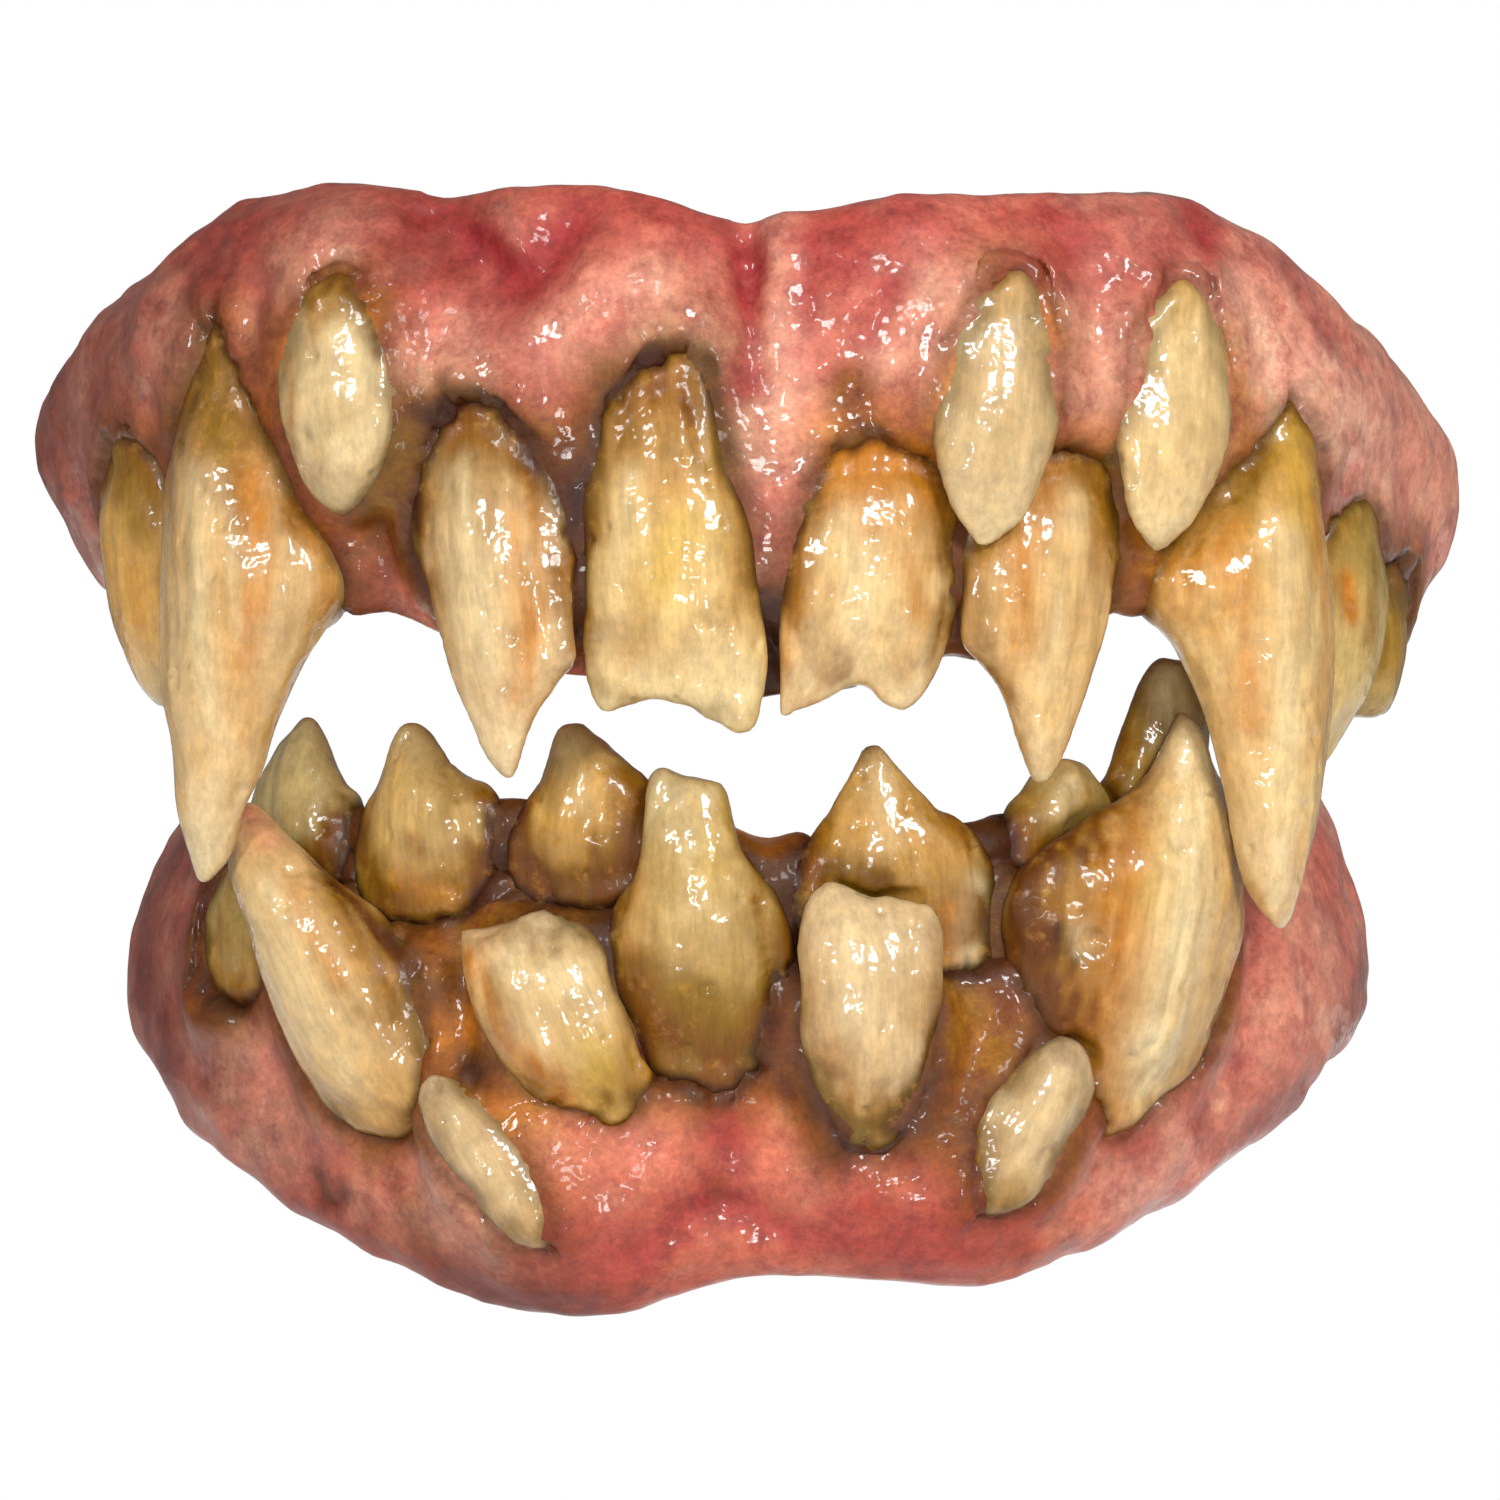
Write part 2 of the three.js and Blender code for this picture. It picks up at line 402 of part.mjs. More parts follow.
// The closed section of a gum plate at its full height: x is the distance towards the lips from
// the wearer's teeth and y the height over the biting face. lipStart, the foot of the lip side,
// tells the lip side from the channel.
function gumSection(plate) {
  const lipStart = lipSide.at(-1).thick * plate.flesh;
  const lip = lipSide.map(({ thick, level }) => [thick * plate.flesh, level * plate.gumHeight]);
  const behind = -channelWidth - tongueWall;
  const channel = [
    [0, 0],
    [behind, 0],
    [behind, tongueWallHeight],
    [-channelWidth, tongueWallHeight],
    [-channelWidth, floorThickness],
    [0, floorThickness],
    [rimInset / 2, (plate.gumHeight + floorThickness) / 2],
    [rimInset, plate.gumHeight],
  ];
  const points = [...lip, ...channel].map(([x, y]) => new THREE.Vector2(x, y));
  return { shape: new THREE.Shape(points), lipStart };
}

// A gum plate before its sockets are cut: its section extruded straight, then bent round the arch.
function gumBlank(plate) {
  const { shape, lipStart } = gumSection(plate);
  const straight = new THREE.ExtrudeGeometry(shape, { depth: 1, steps: archSteps, bevelEnabled: false });
  const tolerance = 1e-4;
  return solidOf(
    reshape(straight, (out, height, along) => {
      const turn = THREE.MathUtils.lerp(-archEndTurn, archEndTurn, along);
      const { point, out: lips } = archPlace(plate, turn);
      const form = formAt(plate, turn);
      const level = height / plate.gumHeight;
      const onLip = out > lipStart - tolerance;
      const outer = out > lipStart + tolerance;
      const reach = onLip ? out * form.thick + (outer ? swellingAt(plate, turn, level) : 0) : out;
      let rise = height;
      if (onLip) {
        rise = THREE.MathUtils.lerp(form.hem, form.rim, level) * plate.gumHeight;
      } else if (height > tongueWallHeight + tolerance) {
        rise = height * form.rim;
      }
      const place = point.clone().addScaledVector(lips, reach);
      place.z = plate.rimSign * (plate.bite + rise);
      return place;
    }),
  );
}

// A tooth's sizes in millimetres.
function toothSize(plate, { tall, wide, deep }) {
  return { tall: tall * plate.gumHeight, wide: wide * plate.halfWidth, deep: deep * plate.flesh };
}

// A tooth's root, and its directions: along it to the tip, sideways, and out of its face.
function toothFrame(plate, tooth) {
  const { point, out, yaw } = archPlace(plate, tooth.turn);
  const turned = yaw * tooth.face;
  const lips = new THREE.Vector3(Math.sin(turned), -Math.cos(turned), 0);
  const right = new THREE.Vector3(Math.cos(turned), Math.sin(turned), 0);
  const down = new THREE.Vector3(0, 0, -plate.rimSign);
  const [lean, rake] = [tooth.lean * degrees, tooth.rake * degrees];
  const mix = (a, shareA, b, shareB) => a.clone().multiplyScalar(shareA).addScaledVector(b, shareB);
  const hanging = mix(down, Math.cos(lean), right, Math.sin(lean));
  const sideways = mix(right, Math.cos(lean), down, -Math.sin(lean));
  const along = mix(hanging, Math.cos(rake), lips, Math.sin(rake));
  const facing = mix(lips, Math.cos(rake), hanging, -Math.sin(rake));
  const root = point.clone().addScaledVector(out, tooth.seat * plate.flesh);
  root.z = plate.rimSign * (plate.bite + tooth.neck * plate.gumHeight);
  const at = (length, aside, forward) => {
    const place = root.clone().addScaledVector(along, length);
    return place.addScaledVector(sideways, aside).addScaledVector(facing, forward);
  };
  return { at };
}

// A tooth, grown on every side by gap. Its faces are those of a box of rows and columns.
function toothBlank(plate, tooth, gap = 0) {
  const { at } = toothFrame(plate, tooth);
  const { tall, wide, deep } = toothSize(plate, tooth);
  const rows = tooth.outline;
  const columns = tooth.columns ?? toothColumns;
  const box = new THREE.BoxGeometry(2, 1, 2, columns, rows.length - 1, 1);
  return solidOf(
    reshape(box, (x, y, z) => {
      const row = rows[Math.round((0.5 - y) * (rows.length - 1))];
      const column = Math.round(((x + 1) / 2) * columns);
      const across = Math.sin((x * Math.PI) / 2);
      const left = row.left * wide - gap;
      const right = row.right * wide + gap;
      const aside = THREE.MathUtils.lerp(left, right, (across + 1) / 2);
      const missing = (tooth.edge?.[column] ?? 0) * tall * row.down ** 3;
      const length = row.down * tall - missing + gap * (2 * row.down - 1);
      const bulge = Math.max(Math.sqrt(1 - across ** 2), leastToothEdge);
      const half = (deep / 2) * row.deep * bulge + gap;
      const bowed = 4 * row.down * (1 - row.down) * tooth.bow * deep;
      return at(length, aside, bowed + (z > 0 ? half : -half * backFlatness));
    }),
  );
}

// A decayed pit in a tooth's face.
function pitBlank(plate, tooth) {
  const { down, across, forward, size } = tooth.pit;
  const { tall, wide, deep } = toothSize(plate, tooth);
  const { x, y, z } = toothFrame(plate, tooth).at(down * tall, across * wide, forward * deep);
  const radius = (size * plate.halfWidth) / 2;
  return solidOf(new THREE.SphereGeometry(radius, pitSides, pitSides - 2).translate(x, y, z));
}

// The plate's gum and teeth as solids: each tooth clears the teeth before it, and the gum has a
// socket for each tooth.
function plateSolids(plate, gumName) {
  const solids = new Map();
  let grown = null;
  for (const tooth of plate.teeth) {
    const whole = toothBlank(plate, tooth);
    const blank = tooth.pit ? whole.subtract(pitBlank(plate, tooth)) : whole;
    solids.set(tooth.name, grown ? mainBody(blank.subtract(grown)) : blank);
    const room = toothBlank(plate, tooth, socketGap);
    grown = grown ? grown.add(room) : room;
  }
  solids.set(gumName, mainBody(gumBlank(plate).subtract(grown)));
  return solids;
}

// A named mesh of a solid.
function meshOf(name, solid, finish) {
  const { vertProperties, triVerts } = solid.getMesh();
  const geometry = new THREE.BufferGeometry();
  geometry.setAttribute('position', new THREE.BufferAttribute(vertProperties, 3));
  geometry.setIndex(new THREE.BufferAttribute(triVerts, 1));
  geometry.computeVertexNormals();
  const mesh = new THREE.Mesh(geometry, new THREE.MeshStandardMaterial(finish));
  mesh.name = name;
  return mesh;
}

const costumeTeeth = new THREE.Group();
for (const [plate, gumName, toothFinish] of [
  [upper, 'upper_gum', upperToothFinish],
  [lower, 'lower_gum', lowerToothFinish],
]) {
  for (const [name, solid] of plateSolids(plate, gumName)) {
    costumeTeeth.add(meshOf(name, solid, name === gumName ? gumFinish : toothFinish));
  }
}

export default costumeTeeth;
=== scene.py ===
# Costume teeth: an upper and a lower plate of wet gum, each set with crooked, stained teeth.
import math

import bmesh
import bpy
import numpy as np
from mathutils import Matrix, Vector
from mathutils.bvhtree import BVHTree


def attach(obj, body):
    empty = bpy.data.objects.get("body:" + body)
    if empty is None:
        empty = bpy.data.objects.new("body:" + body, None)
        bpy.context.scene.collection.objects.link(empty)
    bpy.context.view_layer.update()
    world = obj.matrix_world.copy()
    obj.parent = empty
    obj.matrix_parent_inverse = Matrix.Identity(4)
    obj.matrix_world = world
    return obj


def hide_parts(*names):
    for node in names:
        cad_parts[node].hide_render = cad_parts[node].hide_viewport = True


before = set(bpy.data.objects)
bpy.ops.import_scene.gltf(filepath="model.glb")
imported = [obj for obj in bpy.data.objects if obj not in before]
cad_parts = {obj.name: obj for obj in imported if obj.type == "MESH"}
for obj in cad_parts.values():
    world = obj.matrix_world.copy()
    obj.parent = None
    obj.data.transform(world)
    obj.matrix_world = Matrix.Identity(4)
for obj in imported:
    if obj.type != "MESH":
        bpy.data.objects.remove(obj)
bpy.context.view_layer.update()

scene = bpy.context.scene

# Working sizes are in millimetres, the scene is in metres.
MM = 0.001
TOOTH_VOXEL = 0.24
GUM_VOXEL = 0.33
ARCH_FRONT = -22.0  # how far forward the row of teeth stands
LEAST_STROKE = 0.6  # the narrowest painted stroke that the meshes can show
ROOT_SWELL = 0.4  # the gap round a tooth in its socket
PEG_REACH = 0.7  # how far the root of a peg tooth comes forward
LEAST_TONE = 0.004  # the darkest that a tone gets

# The camera stands in front of the teeth and looks straight back along +Y.
CAMERA_BACK = 645.0
FOCUS_DEPTH = -20.0  # where the picture is PICTURE_WIDTH wide
PICTURE_WIDTH = 75.0
PICTURE_PIXELS = 1500
SENSOR = 36.0
ROUTE_STEP = 12  # pixels between the places that are looked up along a stroke


def linear(code):
    """The linear colour of a six-digit sRGB code."""
    part = np.array([int(code[i:i + 2], 16) for i in (0, 2, 4)]) / 255
    return np.where(part <= 0.04045, part / 12.92, ((part + 0.055) / 1.055) ** 2.4)


def ease(low, high, value):
    """0 below low, 1 above high and smooth between them. low may be the higher one."""
    share = np.clip((value - low) / (high - low), 0, 1)
    return share * share * (3 - 2 * share)


def rough(points, size, seed, waves=40):
    """Smooth random heights, mostly between -2 and 2, with bumps about size across."""
    rng = np.random.default_rng(seed)
    ways = rng.normal(size=(waves, 3))
    ways /= np.linalg.norm(ways, axis=1, keepdims=True)
    ways *= math.pi / size * rng.uniform(0.6, 1.5, (waves, 1))
    phases = rng.uniform(0, 2 * math.pi, waves)
    return math.sqrt(2 / waves) * np.cos(points @ ways.T + phases).sum(1)


def tint(tone, colour, share):
    """Moves every point's colour towards another one by its share."""
    return tone + (colour - tone) * np.clip(share, 0, 1)[:, None]


def points_of(mesh):
    """A mesh's points as an array."""
    flat = np.empty(len(mesh.vertices) * 3, np.float32)
    mesh.vertices.foreach_get("co", flat)
    return flat.reshape(-1, 3).astype(float)


class Surface:
    """A closed mesh of four-sided faces, in millimetres."""

    def __init__(self, mesh):
        self.points = points_of(mesh)
        corners = np.empty(len(mesh.loops), np.int32)
        mesh.loops.foreach_get("vertex_index", corners)
        self.faces = corners.reshape(-1, 4)
        ends = np.empty(len(mesh.edges) * 2, np.int32)
        mesh.edges.foreach_get("vertices", ends)
        self.edges = ends.reshape(-1, 2)
        self.degree = np.bincount(ends, minlength=len(self.points))

    def blur(self, values):
        """Each point's value averaged over its neighbours."""
        a, b = self.edges.T
        count = len(self.points)
        return (np.bincount(a, values[b], count) + np.bincount(b, values[a], count)) / self.degree

    def around(self):
        """The middle of each point's neighbours."""
        return np.stack([self.blur(self.points[:, axis]) for axis in range(3)], 1)

    def smooth(self, rounds):
        for _ in range(rounds):
            self.points = (self.points + self.around()) / 2

    def fair(self, rounds):
        """Smooths without shrinking: each step in is followed by a slightly larger one out."""
        for step in range(2 * rounds):
            self.points += (self.around() - self.points) * (-0.53 if step % 2 else 0.5)

    def normals(self):
        a, b, c, d = (self.points[self.faces[:, i]] for i in range(4))
        face = np.cross(c - a, d - b)
        spread = [np.bincount(self.faces.ravel(), np.repeat(face[:, axis], 4), len(self.points))
                  for axis in range(3)]
        total = np.stack(spread, 1)
        return total / np.maximum(np.linalg.norm(total, axis=1, keepdims=True), 1e-12)

    def tree(self):
        return BVHTree.FromPolygons(self.points.tolist(), self.faces.tolist())


def evaluated(mesh, kind, **settings):
    """A copy of a mesh with one modifier applied."""
    obj = bpy.data.objects.new("work", mesh)
    scene.collection.objects.link(obj)
    modifier = obj.modifiers.new("work", kind)
    for key, value in settings.items():
        setattr(modifier, key, value)
    graph = bpy.context.evaluated_depsgraph_get()
    made = bpy.data.meshes.new_from_object(obj.evaluated_get(graph))
    bpy.data.objects.remove(obj)
    return made


def cad_copy(node, joined):
    """A CAD node's mesh in millimetres, with its triangles joined into quads if asked."""
    work = bmesh.new()
    work.from_mesh(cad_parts[node].data)
    bmesh.ops.scale(work, vec=(1 / MM,) * 3, verts=work.verts)
    bmesh.ops.remove_doubles(work, verts=work.verts, dist=0.01)
    if joined:
        bmesh.ops.join_triangles(work, faces=work.faces, angle_face_threshold=math.radians(30),
                                 angle_shape_threshold=math.radians(80))
    mesh = bpy.data.meshes.new("work")
    work.to_mesh(mesh)
    work.free()
    return mesh


def rounded(node):
    """A tooth's CAD shape with its flat faces rounded through the same corners."""
    cage = cad_copy(node, joined=True)
    corners = points_of(cage)
    moved = corners.copy()
    for _ in range(4):
        smooth = evaluated(cage, "SUBSURF", levels=1)
        moved += (corners - points_of(smooth)[:len(corners)]) * 0.8
        shift = moved - corners
        far = np.linalg.norm(shift, axis=1, keepdims=True)
        moved = corners + shift * np.minimum(1, 0.5 / np.maximum(far, 1e-9))
        cage.vertices.foreach_set("co", moved.astype(np.float32).ravel())
        cage.update()
    return evaluated(cage, "SUBSURF", levels=3)


def nearest(tree, points, reach):
    """The nearest place on a tree for each point, how far it is, up to reach, and its face."""
    places, gaps = points.copy(), np.full(len(points), reach)
    faces = np.full(len(points), -1)
    for i, point in enumerate(points.tolist()):
        place, _, face, gap = tree.find_nearest(point, reach)
        if place is not None:
            places[i], gaps[i], faces[i] = place, gap, face
    return places, gaps, faces


# The small teeth that sit in the gum away from the rows
PEGS = ("upper_left_gum_tooth", "upper_right_gum_tooth_front", "upper_right_gum_tooth_side",
        "lower_left_low_tooth", "lower_right_low_tooth")

# The CAD gums, which tell where each tooth's root enters
sockets = {}
for name in ("upper_gum", "lower_gum"):
    shape = cad_copy(name, joined=False)
    sockets[name] = BVHTree.FromPolygons(points_of(shape).tolist(),
                                         [list(face.vertices) for face in shape.polygons])


class Tooth:
    """A tooth's shape, its own directions, and how far along it each point is."""

    def __init__(self, node, seed):
        self.node = node
        self.seed = seed
        self.up = node.startswith("upper")
        self.gum = "upper_gum" if self.up else "lower_gum"
        mesh = evaluated(rounded(node), "REMESH", mode="VOXEL", voxel_size=TOOTH_VOXEL)
        self.surface = Surface(mesh)
        self.surface.smooth(7)
        points = self.surface.points
        order = points[np.argsort(points[:, 2] * (-1 if self.up else 1))]
        part = len(order) // 5
        self.axis = order[-part:].mean(0) - order[:part].mean(0)
        self.axis /= np.linalg.norm(self.axis)
        middle = points.mean(0)
        lips = np.array([middle[0] * 0.9, ARCH_FRONT, 0])
        lips -= self.axis * (lips @ self.axis)
        self.lips = lips / np.linalg.norm(lips)
        self.side = np.cross(self.axis, self.lips)
        self.seat()
        self.frame_points(middle)
        if node in PEGS:
            self.fill_out()
        self.relief()

    def fill_out(self):
        """Rounds a narrow tooth's outline into an almond and brings its root forward."""
        side = self.grain[:, 0]
        levels = np.linspace(0.04, 0.96, 24)
        bands = [side[np.abs(self.share - level) < 0.04] for level in levels]
        low = np.array([band.min() for band in bands])
        high = np.array([band.max() for band in bands])
        half = (high - low) / 2
        wanted = 1.06 * half.max() * (1 - (2 * levels - 1) ** 2) ** 0.42
        gain = np.interp(self.share, levels, np.clip(wanted / half, 0.85, 1.6))
        middle = np.interp(self.share, levels, (low + high) / 2)
        self.surface.points += ((side - middle) * (gain - 1))[:, None] * self.side
        self.surface.points += (PEG_REACH * ease(0.4, 0.0, self.share))[:, None] * self.lips
        self.surface.smooth(3)

    def seat(self):
        """Thickens the root until it fills its socket."""
        surface = self.surface
        _, gaps, _ = nearest(sockets[self.gum], surface.points, 3.0)
        surface.points += surface.normals() * (ROOT_SWELL * ease(1.8, 0.7, gaps))[:, None]
        surface.smooth(2)

    def frame_points(self, middle):
        """Each point's place in the tooth's own directions, and how far along it that is."""
        place = self.surface.points - middle
        along = place @ self.axis
        self.share = (along - along.min()) / np.ptp(along)
        self.grain = np.stack([place @ self.side, along, place @ self.lips], 1)

    def fibre(self, size, seed):
        """Noise drawn out along the tooth."""
        return rough(self.grain * [1, 1 / 7, 1], size, self.seed * 31 + seed)

    def relief(self):
        """Low lumps, grooves along the tooth and a few chips."""
        surface = self.surface
        lumps = 0.07 * rough(surface.points, 2.6, self.seed) + 0.035 * self.fibre(0.7, 1)
        chips = np.clip(rough(surface.points, 0.7, self.seed + 500) - 1.9, 0, 0.6)
        surface.points += surface.normals() * (lumps - 0.3 * chips)[:, None]


teeth = {}
for number, name in enumerate(sorted(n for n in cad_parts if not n.endswith("_gum"))):
    teeth[name] = Tooth(name, number + 1)

tooth_points, tooth_faces, face_teeth = [], [], []
for tooth in teeth.values():
    first = sum(len(part) for part in tooth_points)
    tooth_points.append(tooth.surface.points)
    tooth_faces.append(tooth.surface.faces + first)
    face_teeth += [tooth.node] * len(tooth.surface.faces)
all_teeth = BVHTree.FromPolygons(np.concatenate(tooth_points).tolist(),
                                 np.concatenate(tooth_faces).tolist())


def sighted(tree, route):
    """The places on a tree that the camera sees along a route of pixels."""
    eye = Vector((0, -CAMERA_BACK, 0))
    pixel = PICTURE_WIDTH / PICTURE_PIXELS
    centre = PICTURE_PIXELS / 2
    steps = [route[0]]
    for (x0, y0), (x1, y1) in zip(route, route[1:]):
        count = max(1, round(math.hypot(x1 - x0, y1 - y0) / ROUTE_STEP))
        steps += [(x0 + (x1 - x0) * i / count, y0 + (y1 - y0) * i / count)
                  for i in range(1, count + 1)]
    found = []
    for x, y in steps:
        way = Vector(((x - centre) * pixel, CAMERA_BACK + FOCUS_DEPTH, (centre - y) * pixel))
        place, _, _, _ = tree.ray_cast(eye, way.normalized())
        if place is not None:
            found.append(tuple(place))
    return np.array(found)


def touched(points, places, width):
    """How strongly each point feels a stroke through the places, from 0 to 1."""
    share = np.zeros(len(points))
    width = max(width, LEAST_STROKE)
    if len(places):
        reach = 2.5 * width
        near = ((points > places.min(0) - reach) & (points < places.max(0) + reach)).all(1)
        square = np.full(int(near.sum()), 1e9)
        for place in places:
            square = np.minimum(square, ((points[near] - place) ** 2).sum(1))
        share[near] = np.exp(-square / width ** 2)
    return share


# Each tooth: the colour of its crown, of its flanks and streaks, of its root and of its tip; how
# far down the root colour reaches as a share of its length; how strongly it is streaked, edged
# and soiled from 0 to 1. The edged share darkens the flanks that turn aside: partly a stain, partly
# painted shade.
TOOTH_TONES = {
    "upper_left_premolar": ("eab868", "bc8438", "946424", "dcc79a", 0.24, 0.35, 0.25, 0.5),
    "upper_left_fang": ("e4c492", "d2994c", "9c6c3a", "e6d3ac", 0.3, 0.5, 0.3, 0.45),
    "upper_left_gum_tooth": ("ecd4a4", "deb87e", "a87838", "ecd6a8", 0.16, 0.12, 0.2, 0.3),
    "upper_left_lateral_incisor": ("e6c898", "d39a56", "9a6a34", "ead2a8", 0.26, 0.3, 0.55, 0.85),
    "upper_left_central_incisor": ("e8c688", "cf9c4c", "c68a4e", "ecd8a8", 0.32, 0.35, 0.4, 0.7),
    "upper_right_central_incisor": ("eac890", "d48c3c", "c47c30", "ecd6ac", 0.3, 0.35, 0.4, 0.7),
    "upper_right_gum_tooth_front": ("dcc092", "ceaa72", "cc9c60", "e2cca0", 0.06, 0.15, 0.3, 0.2),
    "upper_right_lateral_incisor": ("e6be84", "c88c40", "a87434", "ead2a4", 0.28, 0.45, 0.4, 0.6),
    "upper_right_gum_tooth_side": ("ecce98", "dcb274", "d8aa68", "ecd4a6", 0.06, 0.15, 0.3, 0.15),
    "upper_right_fang": ("ecca8e", "d6923a", "c89440", "e8d4ae", 0.24, 0.45, 0.35, 0.4),
    "upper_right_premolar": ("dcbe7c", "b8964c", "b09048", "e4ce9a", 0.28, 0.5, 0.5, 0.5),
    "upper_right_molar": ("b48c40", "8c6828", "7a5824", "c0a050", 0.4, 0.6, 0.5, 0.6),
    "lower_left_tusk": ("dcb984", "c08e50", "c89c5c", "e0b48c", 0.18, 0.25, 0.3, 0.5),
    "lower_left_molar": ("e6cf94", "b8944c", "6a4a1c", "e0cc98", 0.4, 0.35, 0.4, 0.9),
    "lower_left_side_tooth": ("bc9c5c", "94722f", "a87434", "c4a86c", 0.3, 0.4, 0.4, 0.8),
    "lower_left_premolar": ("deb876", "b88c48", "94682c", "d0b684", 0.3, 0.35, 0.35, 0.9),
    "lower_left_lateral_incisor": ("dcae66", "a87830", "744a18", "ccb07c", 0.36, 0.5, 0.4, 0.9),
    "lower_left_front_incisor": ("dec090", "d6a650", "d09e4c", "e0cbaa", 0.2, 0.2, 0.35, 0.6),
    "lower_left_low_tooth": ("e0c194", "d4b07a", "d2ac72", "e4cca4", 0.1, 0.15, 0.3, 0.25),
    "lower_central_incisor": ("ccac70", "a07a3a", "84601e", "d0bc90", 0.36, 0.4, 0.5, 0.8),
    "lower_right_front_incisor": ("dcbe92", "cfa46e", "c8a060", "dcc49c", 0.16, 0.2, 0.35, 0.6),
    "lower_right_lateral_incisor": ("cc9e5c", "a47838", "8a602c", "c8a674", 0.36, 0.4, 0.35, 0.9),
    "lower_right_premolar": ("a88a54", "80602c", "644418", "b8a070", 0.42, 0.4, 0.4, 0.9),
    "lower_right_back_tooth": ("b08c50", "74501e", "58391a", "c8b080", 0.3, 0.5, 0.5, 0.8),
    "lower_right_tusk": ("dcb47a", "b98440", "b07a34", "e4c492", 0.22, 0.35, 0.3, 0.4),
    "lower_right_low_tooth": ("dec296", "d0ac74", "cca466", "e2ccaa", 0.1, 0.15, 0.35, 0.4),
}

# Stroke colours. Most are stains; deep in carved creases and at the outer rims, and plum along the
# contours, are partly painted shade, and some pale strokes are partly painted highlights.
STAINS_AND_SHADES = {
    "deep": linear("9c343c"),
    "pale": linear("e8b49c"),
    "plum": linear("5c2a2e"),
    "brown": linear("7a460e"),
    "orange": linear("cc7e2a"),
    "olive": linear("80601f"),
    "black": linear("341e06"),
    "cream": linear("f0dcae"),
    "yellow": linear("dfb84c"),
    "rose": linear("dc8676"),
    "umber": linear("5e380c"),
    "ochre": linear("b0803c"),
}
